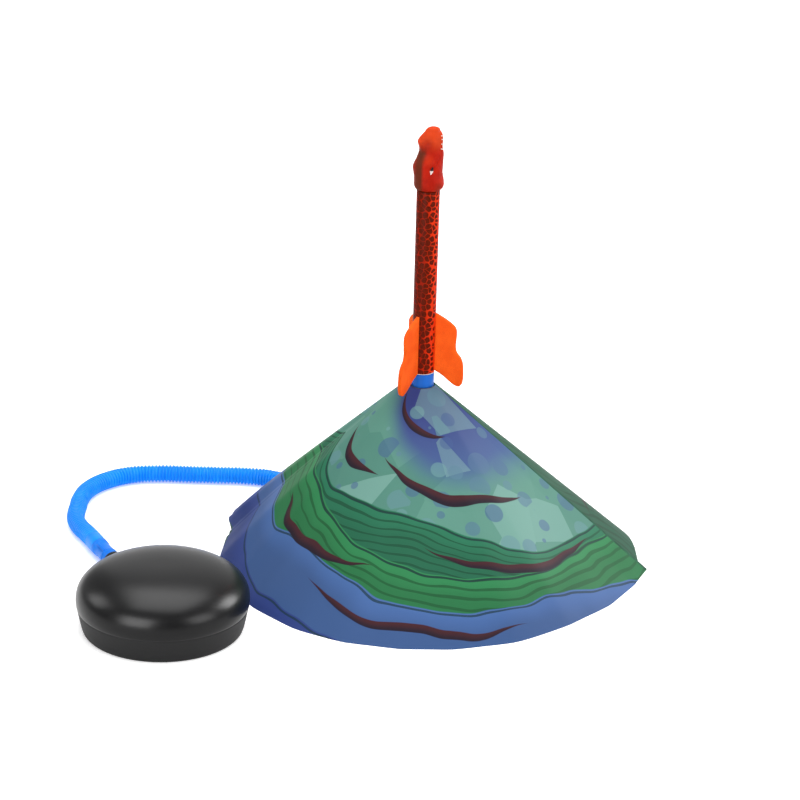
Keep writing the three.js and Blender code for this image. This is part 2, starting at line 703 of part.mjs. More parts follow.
function panGeometry() {
  const thick = bladderThickness;
  const opening = capRadius + capGap;
  const wall = turned([
    [0, 0],
    [bladderWallRadius - bladderBottomRound, 0],
    [bladderWallRadius, bladderBottomRound],
    [bladderWallRadius, bladderCreaseHeight - bladderCreaseLip],
    [bladderWallRadius + bladderOverhang / 2, bladderCreaseHeight],
    ...domeArc(bladderRadius, opening, shoulderSteps),
    [opening, domeHeight(opening) - thick],
    [bladderRadius - thick, bladderEquatorHeight],
    [bladderInnerWall, bladderCreaseHeight],
    [bladderInnerWall, thick + bladderBottomRound],
    [bladderInnerWall - bladderBottomRound, thick],
    [0, thick],
  ], fineSides);
  const alongNeck = (geometry, start) =>
    geometry.rotateY(Math.PI / 2).translate(start, 0, fittingHeight).rotateZ(neckTurn);
  const neckStart = bladderWallRadius - thick / 2;
  const neck = alongNeck(turnedRod(fittingRadius, 0, neckEnd - neckStart, tubeSides), neckStart);
  const boreStart = bladderInnerWall - thick;
  const bore = alongNeck(turnedRod(airBoreRadius, 0, neckEnd - boreStart, smallSides), boreStart);
  const socketDepth = cuffPlugLength + seatGap;
  const socket = alongNeck(
    turnedRod(cuffSocketRadius, 0, socketDepth + cutMargin, tubeSides), neckEnd - socketDepth);
  return cut(join(wall, neck), bore, socket);
}

function capGeometry() {
  const skin = domeArc(capRadius, 0, capSteps);
  const underside = skin.map(([radius, height]) => [radius, height - bladderThickness]).reverse();
  return turned([...underside, ...skin], fineSides);
}

addPiece(bladder, 'bladder_pan', panGeometry(), bladderRubber);
addPiece(bladder, 'bladder_cap', capGeometry(), bladderRubber);
addPiece(bladder, 'hose_cuff_bladder',
  cuffGeometry().rotateY(Math.PI / 2)
    .translate(neckEnd - cuffPlugLength, 0, fittingHeight)
    .rotateZ(neckTurn),
  bluePlastic);

// The part's origin is under the middle of everything but the hose and its cuffs, at the floor.
part.updateMatrixWorld(true);
const extent = new THREE.Box3();
part.traverse((piece) => {
  const onHose = piece === hose || piece.name.startsWith('hose_cuff');
  if (piece.isMesh && !onHose) extent.expandByObject(piece, true);
});
const middle = extent.getCenter(new THREE.Vector3());
launcher.position.set(-middle.x, -middle.y, -extent.min.z);
part.updateMatrixWorld(true);

export default part;
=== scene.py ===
# Stomp rocket toy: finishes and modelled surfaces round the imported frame. Metres, +Z up, floor at z = 0.

import math
from contextlib import contextmanager

import bmesh
import bpy
from mathutils import Matrix, Vector, noise
from mathutils.geometry import interpolate_bezier


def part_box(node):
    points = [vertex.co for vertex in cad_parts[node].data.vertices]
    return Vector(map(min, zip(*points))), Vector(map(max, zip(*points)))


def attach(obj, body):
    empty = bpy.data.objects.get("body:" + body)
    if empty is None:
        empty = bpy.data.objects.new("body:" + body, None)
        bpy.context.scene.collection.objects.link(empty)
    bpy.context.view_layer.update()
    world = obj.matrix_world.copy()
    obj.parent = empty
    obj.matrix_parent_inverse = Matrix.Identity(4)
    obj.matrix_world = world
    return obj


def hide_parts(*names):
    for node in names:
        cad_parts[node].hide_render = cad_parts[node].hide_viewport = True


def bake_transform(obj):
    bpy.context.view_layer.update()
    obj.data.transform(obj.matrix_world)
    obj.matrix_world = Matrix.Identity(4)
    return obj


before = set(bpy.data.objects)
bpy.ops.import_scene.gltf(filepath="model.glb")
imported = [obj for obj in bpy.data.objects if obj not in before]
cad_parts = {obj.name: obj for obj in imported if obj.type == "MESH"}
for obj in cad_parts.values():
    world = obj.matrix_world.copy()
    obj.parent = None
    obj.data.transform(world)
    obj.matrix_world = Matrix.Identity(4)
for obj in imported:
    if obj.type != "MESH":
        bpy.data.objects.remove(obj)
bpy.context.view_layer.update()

MM = 0.001

# Places that come from the frame
tube_low, tube_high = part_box("rocket_tube")
nose_low, nose_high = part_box("rocket_nose")
collar_low, collar_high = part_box("launch_collar")
launch_low, launch_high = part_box("launch_tube")
cap_low, cap_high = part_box("bladder_cap")
pan_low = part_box("bladder_pan")[0]
skirt_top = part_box("skirt_front")[1].z
launch_axis = Vector(((launch_low.x + launch_high.x) / 2, (launch_low.y + launch_high.y) / 2, 0))
bladder_axis = Vector(((cap_low.x + cap_high.x) / 2, (cap_low.y + cap_high.y) / 2, 0))
tube_radius = (tube_high.x - tube_low.x) / 2
collar_radius = (collar_high.x - collar_low.x) / 2
launch_radius = (launch_high.x - launch_low.x) / 2
bladder_radius = bladder_axis.x - pan_low.x
bladder_height = cap_high.z

# Camera, in the photograph's square frame
CAMERA_PLACE = Vector((-0.0224, -2.6262, 1.2009))    # from the launch axis at the floor
CAMERA_PITCH = 21.42                # degrees below level
CAMERA_ROLL = 1.58
FOCAL_PIXELS = 2758
IMAGE_PIXELS = 800
SENSOR_WIDTH = 36

# Stage
FLOOR_SIZE = 60
FLOOR_TONE = (0.92, 0.92, 0.92, 1)
FLOOR_GLOW = 0.4
WHITE = (1, 1, 1, 1)
SKY_STRENGTH = 0.34
CEILING_POWER = 2.45
CEILING_SPREAD = math.radians(70)
CEILING_AIM = Vector((-0.20, 0.32, -1))
# Softboxes round the bladder's crown: name, direction, distance, size and power
SOFTBOXES = (
    ("left_softbox", (-0.82, 0.23, 0.50), 1.9, 0.80, 12),
    ("front_left_softbox", (-0.47, -0.80, 0.37), 2.0, 1.35, 60),
    ("front_right_softbox", (0.77, -0.50, 0.39), 2.0, 1.05, 24),
    ("right_softbox", (0.84, 0.32, 0.42), 1.9, 0.75, 34),
    ("top_softbox", (0.0, 0.27, 0.96), 2.1, 1.8, 25),
    ("crown_softbox", (0.03, 0.11, 0.99), 1.9, 1.75, 38),
    ("back_softbox", (0.10, 0.97, 0.22), 3.0, 3.0, 20),
)
LIGHTING_SOFTBOX = "top_softbox"    # the others only show in the gloss

# Rocket
TUBE_WALL = 1.05 * MM
TUBE_ROUND = 0.22 * MM
TUBE_SIDES = 96
PAPER_SHOWN = 0.6 * MM              # bare cut edge under the printed film
FILM_DEPTH = 0.12 * MM              # deeper than this under its skin, the tube is bare paper
FILM_TURNED_IN = 1.0 * MM           # how far down the bore the film is turned in
HEAD_BASE_RADIUS = 12.4 * MM
# Outlines of the head: (height above its base, reach past the base's radius), in millimetres
HEAD_BACK = ((0, 0), (3.5, 2.1), (13, 2.4), (24.5, 3.8), (32, 0.6), (42, -2.1), (49.6, -0.1), (54, -2.9),
             (60, -7.8))
HEAD_JAW = ((0, 0), (4, 2.9), (11, 2.6), (18, 1.3), (26, 1.5), (38, 1.9), (43, 0.6), (50, 0.6), (56, 0.2),
            (60, -1.9))
HEAD_SIDE = ((0, 0), (4, 2.0), (12, 1.9), (21, 1.4), (27, 0.2), (38, -2.0), (48, -1.8), (55, -3.4),
             (60, -6.4))
HEAD_SIDES = 48
HEAD_RINGS = 26
HEAD_TIP_RINGS = (0.35, 0.65, 0.85, 0.97)    # shares of the rounded tip's height
HEAD_TIP_SHIFT = 0.55 * MM
HEAD_TIP_RISE = 1.2 * MM            # how far the snout tops its solid
HEAD_POLE_RISE = 0.02               # share of the tip's height
HEAD_FOOT = 0.4 * MM                # height under which the head isn't sculpted
# Bumps and hollows, alike on both sides: (towards the jaw, to the side, up), width, height, in millimetres
HEAD_BUMPS = (
    ((-4.0, 10.5, 27.5), 4.2, 1.6), ((1.0, 12.0, 30.0), 2.8, 1.1), ((6.2, 11.0, 28.6), 2.2, 0.5),
    ((2.6, 13.2, 22.4), 4.0, -1.1), ((4.5, 12.5, 12.5), 4.0, 0.8), ((8.5, 9.0, 22.0), 4.2, 0.6),
    ((-7.5, 5.0, 49.0), 3.2, 0.9), ((-8.4, 5.8, 51.6), 1.3, -1.2), ((-10.5, 7.5, 14.0), 4.0, 0.5),
    ((-2.5, 9.5, 49.5), 3.6, -1.3), ((-2.0, 8.0, 57.0), 4.6, 0.9), ((3.2, 9.6, 51.0), 2.4, 0.8),
)
MOUTH_LINE = ((7.2, 10.2, 28), (10.6, 6.4, 36), (11.9, 4.8, 44), (11.9, 4.0, 52), (10.6, 3.0, 57.5))
BROW_LINE = ((-6.0, 9.0, 27.0), (-6.5, 7.0, 37.0), (-7.0, 5.0, 46.0))
CREST_LINE = ((-8.5, 10.5, 2.0), (-8.5, 10.0, 22.0))
# Width and height of what runs along these lines, in millimetres
MOUTH_GROOVE = (0.7, -1.0)
LIP = (0.8, 0.45)
LIP_OFFSET = 1.7
BROW_RIDGE = (1.6, 0.6)
CREST_RIDGE = (1.8, 0.45)
SKIN_RELIEF = 0.12                  # millimetres
SKIN_RELIEF_SIZE = 2.5 * MM
EYE_PLACE = (2.6, 12.4, 22.4)       # millimetres: towards the jaw, to the side, above the base
EYE_SIZE = (1.8, 1.5, 4.14)
EYE_TURN = 15                       # degrees
EYE_TAPER = (0.86, 1, 1.02)
EYE_TAPER_LEVELS = (0.15, 0.4, 0.65, 0.85)
EYE_SPLIT = 0.3 * MM                # from its middle up to where the white turns dark
EYE_SPLIT_BLUR = 0.5 * MM
TEETH_PER_SIDE = 4
TEETH_SPAN = (0.47, 0.93)           # shares of the mouth line
TOOTH_REACH = 0.7 * MM              # how far the teeth stand out past the mouth line
TOOTH_RADII = (0.75 * MM, 0.2 * MM)
TOOTH_LENGTH = 2.4 * MM
TOOTH_ROUND = 0.05 * MM
TOOTH_SIDES = 10

# Fins: outline points (distance from the tube's skin, height above the tube's end), in millimetres
FIN_OUTLINE = (
    (-0.4, 0.5), (-0.4, 62.0), (12.0, 54.5), (18.7, 49.2), (21.2, 45.6), (21.9, 41.0), (21.6, 33.0),
    (21.4, 25.5), (22.7, 20.2), (26.4, 15.4), (28.7, 9.8), (29.6, 3.0), (29.8, -5.5), (29.2, -11.0),
    (27.6, -14.6), (24.9, -16.2), (21.2, -15.0), (15.8, -11.2), (8.2, -4.8),
)
FIN_SHARP_POINTS = (0, 1)
FIN_CURVE_STEPS = 10
FIN_THICKNESS = 4.2 * MM
FIN_ROUND = 1.1 * MM
FIN_ROUND_STEPS = 4
FIN_AZIMUTHS = (-5, 115, 235)
FIN_LIFTS = (2.0, 0.0, 0.0)         # millimetres by which each fin is glued on higher

# Launch tube and collar
LAUNCH_TUBE_WALL = 2 * MM
LAUNCH_TUBE_ROUND = 0.5 * MM
COLLAR_CLEARANCE = 0.3 * MM
COLLAR_ROUND = 0.35 * MM

# Skirt, with angles in degrees
SHEET_THICKNESS = 1.2 * MM
SHEET_COLUMNS = 150
SHEET_ROWS = 44
RIM_HEIGHT = 0.05 * MM              # the solid's points under this height are its rim
SEAM_MARGIN = math.degrees(0.001)   # angle left free beside each seam
FACET_SAG = 1.6 * MM                # how far the sheet lies flat between two soft creases
FACET_SPAN = 16                     # angle between two creases that sag by that much
CREASE_SHARPNESS = 0.45             # 0 for a smooth wave, 1 for sharp creases
LEFT_BOW = 4.2 * MM                 # how far the sheet bows out over its left side
LEFT_BOW_AZIMUTH = 158
LEFT_BOW_SPREAD = 38
LEFT_BOW_POWER = 5                  # how late the bow ends on the way down
RIM_DENT = 4.0 * MM                 # how far the rim is drawn in at the front right
RIM_DENT_AZIMUTH = 314
RIM_DENT_SPREAD = 10
RIM_DENT_POWER = 4                  # how late the dent starts on the way down
COLLAR_GAP_BACK = 0.5 * MM
COLLAR_GAP_FRONT = 2.0 * MM
PRINT_HALF_TURN = 1.16              # half the angle of a flat panel, in radians
APEX_GAP = 17 * MM                  # from the cone's tip to the sheet's upper edge
CREASES_FRONT = (172, 187, 206, 221, 238, 252, 266, 279, 295, 313, 330, 344, 354)
CREASES_BACK = (-6, 14, 37, 58, 83, 105, 126, 149, 161, 172)
BACK_FACING = Vector((0.122, 0.993, 0))    # square to the line through both seams
ARCH_AZIMUTH = 134.2
ARCH_HALF_WIDTH = 15.5 * MM
ARCH_HEIGHT = 26 * MM
ARCH_SIDES = 48
ARCH_CUT_PLACE = 0.22               # from the launch axis to the middle of the cut
ARCH_CUT_LENGTH = 0.2

# Hose: route from the launcher to the bladder, from the launch axis at the floor, in millimetres
HOSE_ROUTE = (
    (-48.1, 51.6, 11.2), (-63, 67.6, 11.0), (-80, 85.8, 10.4), (-107, 114.8, 9.8), (-133.7, 143.4, 9.8),
    (-160.3, 162.2, 9.8), (-192.2, 168.8, 9.8), (-222, 169, 9.8), (-252, 169, 9.8), (-283, 169, 9.8),
    (-313.6, 162.9, 9.8), (-339.6, 145.6, 9.8), (-356.9, 119.6, 9.8), (-363, 89, 9.8), (-363, 72, 9.8),
    (-363, 55, 9.8), (-360.9, 36.6, 9.8), (-354.5, 19.2, 9.8), (-345.3, 2.3, 10.3), (-336.6, -15.2, 11.0),
    (-328.2, -31.9, 11.2),
)
HOSE_PATH_STEPS = 16                # samples between two points of the route
HOSE_RADIUS = 9.5 * MM
HOSE_VALLEY_RADIUS = 7.8 * MM
HOSE_BORE_RADIUS = 7.0 * MM
HOSE_SIDES = 32
PLAIN_END = 19 * MM                 # least length without ribs at each end
RIB_PITCH = 3.8 * MM
# One rib: (share of the pitch, share of the way from the valley to the crest)
RIB_OUTLINE = ((0, 0), (0.16, 0), (0.28, 1 / 3), (0.42, 0.97), (0.58, 1), (0.74, 0.97), (0.88, 1 / 3))
BORE_STEP = 3                       # ribs between two rings of the bore
# Cuff's outside from its plug to its lip: (reach past its radius, distance along it), in millimetres
CUFF_OUTLINE = ((0, -18), (0, 1), (0.5, 1.6), (0.5, 4.2), (0, 4.8), (-0.3, 18), (0, 24), (0.6, 25),
                (0.6, 30))
CUFF_RADIUS = 8.8 * MM
CUFF_SHOWN = CUFF_OUTLINE[-1][1] * MM
CUFF_BORE = 5 * MM
CUFF_ROUND = 0.3 * MM
CUFF_SIDES = 64
SPIGOT_RADIUS = 6.2 * MM
SPIGOT_LENGTH = 15 * MM
LUG_SIZE = (2.4 * MM, 2.8 * MM, 19 * MM)
LUG_PLACE = 12 * MM                 # along the cuff
LUG_ROUND = 0.5 * MM
LUG_FACING = Vector((-0.35, -0.45, 0.8))

# Stomp bladder
BLADDER_WALL_INSET = 3.5 * MM
BLADDER_CREASE = 25 * MM
BLADDER_EQUATOR = 31 * MM
# Wall from the floor over the crease: (reach past the wall's radius, height), in millimetres
BLADDER_WALL = (
    (-5.5, 0), (-4.0, 0.4), (-2.9, 1.6), (-2.0, 4.0), (-0.9, 8.5), (0.1, 13), (1.2, 18.5), (2.1, 22.8),
    (2.4, 24.2), (2.2, 24.8), (2.6, 25.4), (3.2, 27.2),
)
DOME_POWER = 2.4
DOME_RINGS = 26
BLADDER_SIDES = 128
NECK_RADIUS = 11 * MM
NECK_INSET = 6 * MM                 # how far the neck starts inside the wall
NECK_BACK = 9 * MM                  # how far the neck ends short of the cuff's shown part
# Both ends of the neck: (reach past its radius, distance from its start or from its end), in millimetres
NECK_FLARE = ((3, 0), (1.6, 7), (0.3, 12), (-0.6, 20))
NECK_LIP = ((-0.6, -8), (-0.1, -6), (-0.1, 0))
NECK_CLEARANCE = 0.2 * MM
NECK_ROUND = 0.4 * MM
NECK_LIFT = 0.3 * MM                # lowest height of the neck over the floor

# Tones, as linear red, green and blue
VINYL_REDS = ((0.38, 0.009, 0.002), (0.48, 0.014, 0.003))
# Painted light: the orange of the snout's lit top
SNOUT_LIT_ORANGE = (0.58, 0.047, 0.008)
# Painted shade down the back of the head
PAINTED_SHADE_BROWN = (0.115, 0.020, 0.006)
EYE_WHITES = ((0.74, 0.58, 0.53), (0.86, 0.80, 0.76))
EYE_DARK = (0.016, 0.002, 0.003)
NET_REDS_LIT_AND_SHADED = ((0.70, 0.030, 0.003), (0.31, 0.011, 0.001))    # on the tube's right, and darker as painted shade on its left
SCALE_BROWNS = ((0.062, 0.004, 0.0008), (0.150, 0.013, 0.0015))
FOAM_ORANGES = ((0.88, 0.092, 0.004), (0.98, 0.125, 0.008))
FOAM_PORE = (0.76, 0.075, 0.004)
SHEET_VIOLETS = ((0.027, 0.037, 0.160), (0.050, 0.092, 0.224))
SHEET_MINTS = ((0.060, 0.180, 0.140), (0.104, 0.256, 0.200))
SHARD_TONE = (0.192, 0.344, 0.320)
BUBBLE_TONES = ((0.032, 0.056, 0.200), (0.128, 0.272, 0.264))
BAND_LINE = (0.006, 0.024, 0.027)
STREAK_TONES = ((0.042, 0.010, 0.014), (0.011, 0.006, 0.013))
DOME_BLACKS = ((0.003, 0.003, 0.0034), (0.006, 0.006, 0.0065))
WALL_BLACK = (0.009, 0.009, 0.0095)

# Plain finishes: two tones, two roughnesses, scales of grain and blotches, relief in millimetres, sockets
SATIN = {"Specular_IOR_Level": 0.14}
PLAIN_FINISHES = {
    "hose_plastic": ((0.001, 0.215, 0.80), (0.002, 0.265, 0.88), (0.36, 0.48), 700, 30, 0.04, SATIN),
    "blue_plastic": ((0.004, 0.110, 0.50), (0.006, 0.130, 0.58), (0.30, 0.42), 600, 40, 0.03, SATIN),
    "cuff_plastic": ((0.001, 0.150, 0.66), (0.002, 0.180, 0.74), (0.32, 0.44), 600, 40, 0.03, SATIN),
    "tooth_paint": ((0.70, 0.60, 0.50), (0.85, 0.78, 0.70), (0.28, 0.40), 900, 300, 0.03, {}),
    "tube_paper": ((0.78, 0.74, 0.70), (0.88, 0.85, 0.82), (0.70, 0.85), 900, 120, 0.04, {}),
    "sheet_back": ((0.62, 0.63, 0.64), (0.72, 0.73, 0.74), (0.42, 0.56), 500, 14, 0.03, {}),
    "stand_plastic": ((0.022, 0.022, 0.026), (0.034, 0.034, 0.038), (0.45, 0.62), 800, 40, 0.05, {}),
    "foot_rubber": ((0.010, 0.010, 0.010), (0.016, 0.016, 0.016), (0.75, 0.90), 900, 60, 0.06, {}),
    "pin_steel": ((0.42, 0.42, 0.44), (0.55, 0.55, 0.57), (0.22, 0.34), 900, 120, 0.02, {"Metallic": 1.0}),
}
BLOTCH_EDGES = (0.3, 0.7)

# Brown painted shade down the back of the head, in millimetres from the launch axis and above the base
STRIPE_PLACES = (-8.0, -4.6)        # low on the head, and at the nostril
STRIPE_CLIMB = (24, 46)             # heights between which it leans over
STRIPE_END = (48, 38)               # heights over which it ends
STRIPE_BLUR = (5.2, 1.2)            # distances from its middle where it is gone and where it is full
STRIPE_BACK = -0.58                 # how slowly it fades round the back
STRIPE_WOBBLE = 3
STRIPE_STRENGTH = 0.95
SNOUT_LIGHT_CLIMB = (38, 52)              # heights between which the red turns orange, painted light on the snout's top
# Spots of painted shade under the nostril and round the base, and of painted highlight over the brow, alike
# on both sides: (towards the jaw, to the side, up), size, tone and strength
HEAD_SHADE_AND_HIGHLIGHT_SPOTS = (
    ((-2.0, 9.0, 47.0), 10.0, (0.30, 0.006, 0.002), 0.6),
    ((-1.0, 12.0, 33.0), 9.0, (0.60, 0.036, 0.006), 0.5),
    ((8.5, 9.0, 5.0), 8.0, (0.16, 0.018, 0.005), 0.7),
    ((-2.0, 12.0, 3.0), 9.0, (0.27, 0.008, 0.002), 0.6),
)

# Tube's scales: their number in a metre, and what changes from the tube's right to its left, where painted
# shade darkens the network
SCALES_PER_METRE = 175.0
SCALE_SCATTER = 0.8
SCALE_WARP = (0.003, 0.003, 0)
SCALE_TURN = (11.0 * MM, 2.5 * MM)  # places across the tube, from the launch axis
# Places across the tube over which the network's red darkens into painted shade
SCALE_PAINTED_SHADE = (7 * MM, -4 * MM)
NET_WIDTHS = (0.15, 0.045)
SCALE_REACHES = (0.38, 0.60)

# Sheet's print, on the flat cut: distances from the cone's tip in metres, turns from its middle in radians
SWIRL = -0.052                      # how far the bands climb in a turn of one radian
SWIRL_RIPPLE = 0.03
MINT_EDGE = (0.104, 0.016, 3.1, 0.6)
# Bands: (distance, swing, waves and phase of the upper edge), tone and pitch of the strokes
SHEET_BANDS = (
    ((0.186, 0.012, 4.1, 4.3), (0.017, 0.140, 0.072), 0.0085),
    ((0.220, 0.011, 3.3, 1.0), (0.022, 0.180, 0.062), 0.0105),
    ((0.262, 0.009, 5.2, 1.1), (0.050, 0.112, 0.290), 0),
    ((0.316, 0.008, 3.7, 2.6), (0.026, 0.046, 0.180), 0),
    ((0.352, 0.007, 4.6, 0.3), (0.018, 0.084, 0.034), 0.0075),
    ((0.370, 0.006, 4.9, 5.0), (0.024, 0.010, 0.008), 0),
)
BORDER_BAND = ((0.017, 0.105, 0.056), 0.0115)
BORDER_TURN = 0.84
BORDER_RIPPLE = 0.24
# Streaks: distance, turns of both ends and half width
SHEET_STREAKS = (
    (0.066, -0.70, 0.45, 0.0055), (0.132, -0.30, 0.85, 0.0070), (0.154, -1.05, -0.25, 0.0060),
    (0.204, 0.10, 1.05, 0.0065), (0.240, -0.95, -0.10, 0.0060), (0.283, -0.40, 0.50, 0.0055),
)
STREAK_BEND = 0.012


# Modelling by hand: selecting, extruding and finishing

def deselect_all():
    if bpy.context.object and bpy.context.object.mode != "OBJECT":
        bpy.ops.object.mode_set(mode="OBJECT")
    bpy.ops.object.select_all(action="DESELECT")


@contextmanager
def edit_mode():
    bpy.ops.object.mode_set(mode="EDIT")
    yield
    bpy.ops.object.mode_set(mode="OBJECT")


def take(piece):
    """Selects one piece alone and makes it the active one."""
    deselect_all()
    piece.select_set(True)
    bpy.context.view_layer.objects.active = piece


def named(name):
    """The object that was just added, under its name."""
    made = bpy.context.active_object
    made.name = name
    return made


def join_pieces(first, others):
    take(first)
    for piece in others:
        piece.select_set(True)
    bpy.ops.object.join()


def apply_modifier(piece, kind, **settings):
    take(piece)
    modifier = piece.modifiers.new(kind.lower(), kind)
    for name, value in settings.items():
        setattr(modifier, name, value)
    bpy.ops.object.modifier_apply(modifier=modifier.name)


def round_edges(piece, width, steps=3, angle=35):
    apply_modifier(piece, "BEVEL", width=width, segments=steps, limit_method="ANGLE",
                   angle_limit=math.radians(angle), harden_normals=False)


def smooth_shade(piece, angle=40):
    take(piece)
    bpy.ops.object.shade_smooth_by_angle(angle=math.radians(angle))


def rotation(degrees, axis):
    return Matrix.Rotation(math.radians(degrees), 4, axis)


def facing(direction):
    """The turn that points a piece's upright axis in a direction."""
    return direction.to_track_quat("Z", "Y").to_matrix().to_4x4()


def settle(piece, place):
    """Moves a piece that was modelled at the origin to its place, and keeps the place in its mesh."""
    take(piece)
    piece.matrix_world = place
    bpy.ops.object.transform_apply(location=True, rotation=True, scale=True)


def pick_verts(piece, test):
    """In edit mode, selects only the points that pass the test."""
    bpy.ops.mesh.select_mode(type="VERT")
    bpy.ops.mesh.select_all(action="DESELECT")
    shape = bmesh.from_edit_mesh(piece.data)
    for vert in shape.verts:
        vert.select_set(test(vert.co))
    shape.select_flush_mode()
    bmesh.update_edit_mesh(piece.data)


def flatten_below(piece, level):
    """Lays what reaches below a level flat on it."""
    with edit_mode():
        pick_verts(piece, lambda point: point.z < level)
        bpy.ops.transform.resize(value=(1, 1, 0), center_override=(0, 0, level))


def start_ring(name, sides, radius, height, fill="NOTHING"):
    """A ring, empty or filled, with its edge selected in edit mode."""
    deselect_all()
    bpy.ops.mesh.primitive_circle_add(vertices=sides, radius=radius, fill_type=fill, location=(0, 0, height))
    bpy.ops.object.transform_apply(location=True)
    piece = named(name)
    bpy.ops.object.mode_set(mode="EDIT")
    bpy.ops.mesh.select_mode(type="EDGE")
    bpy.ops.mesh.select_all(action="SELECT")
    if fill != "NOTHING":
        bpy.ops.mesh.region_to_loop()
    return piece


def extrude_ring(centre, rise, scale, shift=0.0):
    """Extrudes the selected ring: moved along X and up, then scaled about its centre."""
    bpy.ops.mesh.extrude_edges_move(TRANSFORM_OT_translate={"value": (shift, 0, rise)})
    middle = (centre[0] + shift, centre[1], centre[2] + rise)
    bpy.ops.transform.resize(value=(scale[0], scale[1], 1), center_override=middle)
    return middle


def close_ring(rise=0.0):
    """Ends a skin in a pole over the selected ring."""
    bpy.ops.mesh.extrude_edges_move(TRANSFORM_OT_translate={"value": (0, 0, rise)})
    bpy.ops.mesh.merge(type="CENTER")


def outward_faces():
    """Closes the seams, turns the faces outwards and leaves edit mode."""
    bpy.ops.mesh.select_all(action="SELECT")
    bpy.ops.mesh.remove_doubles(threshold=1e-6)
    bpy.ops.mesh.normals_make_consistent(inside=False)
    bpy.ops.object.mode_set(mode="OBJECT")


def outline(points, radius, along=0.0):
    """Profile points in metres from (reach past a radius, distance along the axis) in millimetres."""
    return [(radius + out * MM, along + up * MM) for out, up in points]


def turned_piece(name, profile, sides, closed=True):
    """A skin turned about the upright axis by extruding a ring along (radius, height) points.

    The profile is joined to its start, or runs from a disc on the floor to a pole.
    """
    (radius, height), *rest = profile
    piece = start_ring(name, sides, radius, height, "NOTHING" if closed else "TRIFAN")
    centre = (0, 0, height)
    for next_radius, next_height in [*rest, profile[0]] if closed else rest:
        growth = next_radius / radius
        centre = extrude_ring(centre, next_height - height, (growth, growth))
        radius, height = next_radius, next_height
    if not closed:
        close_ring()
    outward_faces()
    return piece


def fresh_spline(curve, count):
    """Puts a new spline with a number of points in the place of a curve's own."""
    curve.splines.clear()
    spline = curve.splines.new("BEZIER")
    spline.bezier_points.add(count - 1)
    return spline


def place_knot(knot, place, kind="AUTO"):
    knot.co = place
    knot.handle_left_type = kind
    knot.handle_right_type = kind


def hand_over(piece, materials, body, slot, *nodes):
    """Gives a piece its materials, the body that it rides on and the solids that it stands for. Its slot
    argument is not used.
    """
    for material in materials:
        piece.data.materials.append(material)
    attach(piece, body)
    if nodes:
        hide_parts(*nodes)


def smooth_value(points, at):
    """Value of a smooth curve through (place, value) points."""
    last = len(points) - 1
    index = next((i for i in range(last) if at <= points[i + 1][0]), last - 1)
    (x0, y0), (x1, y1) = points[index], points[index + 1]

    def slope(i):
        low, high = points[max(0, i - 1)], points[min(last, i + 1)]
        return (high[1] - low[1]) / (high[0] - low[0])

    span = x1 - x0
    t = min(1, max(0, (at - x0) / span))
    ease = t * t * (3 - 2 * t)
    swing = t * (1 - t) * ((1 - t) * slope(index) - t * slope(index + 1))
    return y0 + (y1 - y0) * ease + span * swing


def line_distance(point, line):
    """Distance from a point to a line of straight stretches."""
    best = math.inf
    for start, end in zip(line, line[1:]):
        along = end - start
        share = min(1, max(0, (point - start).dot(along) / along.length_squared))
        best = min(best, (point - start - along * share).length)
    return best


def swell(distance, width, height):
    """Height of a soft bump at a distance from its middle."""
    return height * math.exp(-(distance / width) ** 2)


# Material building

FLAT_NOISE = {"noise_dimensions": "2D"}
FLAT_CELLS = {"voronoi_dimensions": "2D"}


def put(socket, value):
    """Sets a socket to a value, or links it to another node's output."""
    if isinstance(value, bpy.types.NodeSocket):
        socket.id_data.links.new(value, socket)
    else:
        socket.default_value = value


def fill(node, **inputs):
    """Sets or links a node's sockets by name."""
    for name, value in inputs.items():
        put(node.inputs[name.replace("_", " ")], value)


def add_node(tree, kind, settings=None, *values, **inputs):
    """A node with its settings, its first sockets filled in their order and others by name."""
    made = tree.nodes.new(kind)
    for name, value in (settings or {}).items():
        setattr(made, name, value)
    for socket, value in zip(made.inputs, values):
        put(socket, value)
    fill(made, **inputs)
    return made


def follow(kind, settings, *values):
    """A node in the tree of the outputs among its values."""
    tree = next(value.id_data for value in values if isinstance(value, bpy.types.NodeSocket))
    return add_node(tree, kind, settings, *values)


def calc(operation, *values):
    return follow("ShaderNodeMath", {"operation": operation}, *values).outputs[0]


def vector_calc(operation, *values):
    return follow("ShaderNodeVectorMath", {"operation": operation}, *values).outputs


def step(value, low, high):
    """0 below low, 1 above high, smooth between them."""
    settings = {"interpolation_type": "SMOOTHSTEP"}
    return follow("ShaderNodeMapRange", settings, value, low, high).outputs["Result"]


def spread(value, low, high):
    """Spreads a 0 to 1 value between two others."""
    return follow("ShaderNodeMapRange", None, value, 0, 1, low, high).outputs["Result"]


def mix(share, under, over):
    """Mixes two colours or tones by a share of the second."""
    made = follow("ShaderNodeMix", {"data_type": "RGBA"}, share)
    for index, value in ((6, under), (7, over)):
        put(made.inputs[index], (*value, 1) if isinstance(value, tuple) else value)
    return made.outputs[2]


def new_material(name, **sockets):
    """A material with its shader, whose plain sockets are set directly."""
    material = bpy.data.materials.new(name)
    material.use_nodes = True
    shader = material.node_tree.nodes["Principled BSDF"]
    fill(shader, **sockets)
    return material, material.node_tree, shader


def object_place(tree):
    return add_node(tree, "ShaderNodeTexCoord").outputs["Object"]


def split(vector):
    """The X, Y and Z outputs of a vector or colour."""
    return follow("ShaderNodeSeparateXYZ", None, vector).outputs


def relief(height, depth, strength=1.0):
    """A normal from a height, whose whole depth is in millimetres."""
    sockets = {"Height": height, "Distance": depth * MM, "Strength": strength}
    return add_node(height.id_data, "ShaderNodeBump", **sockets).outputs["Normal"]


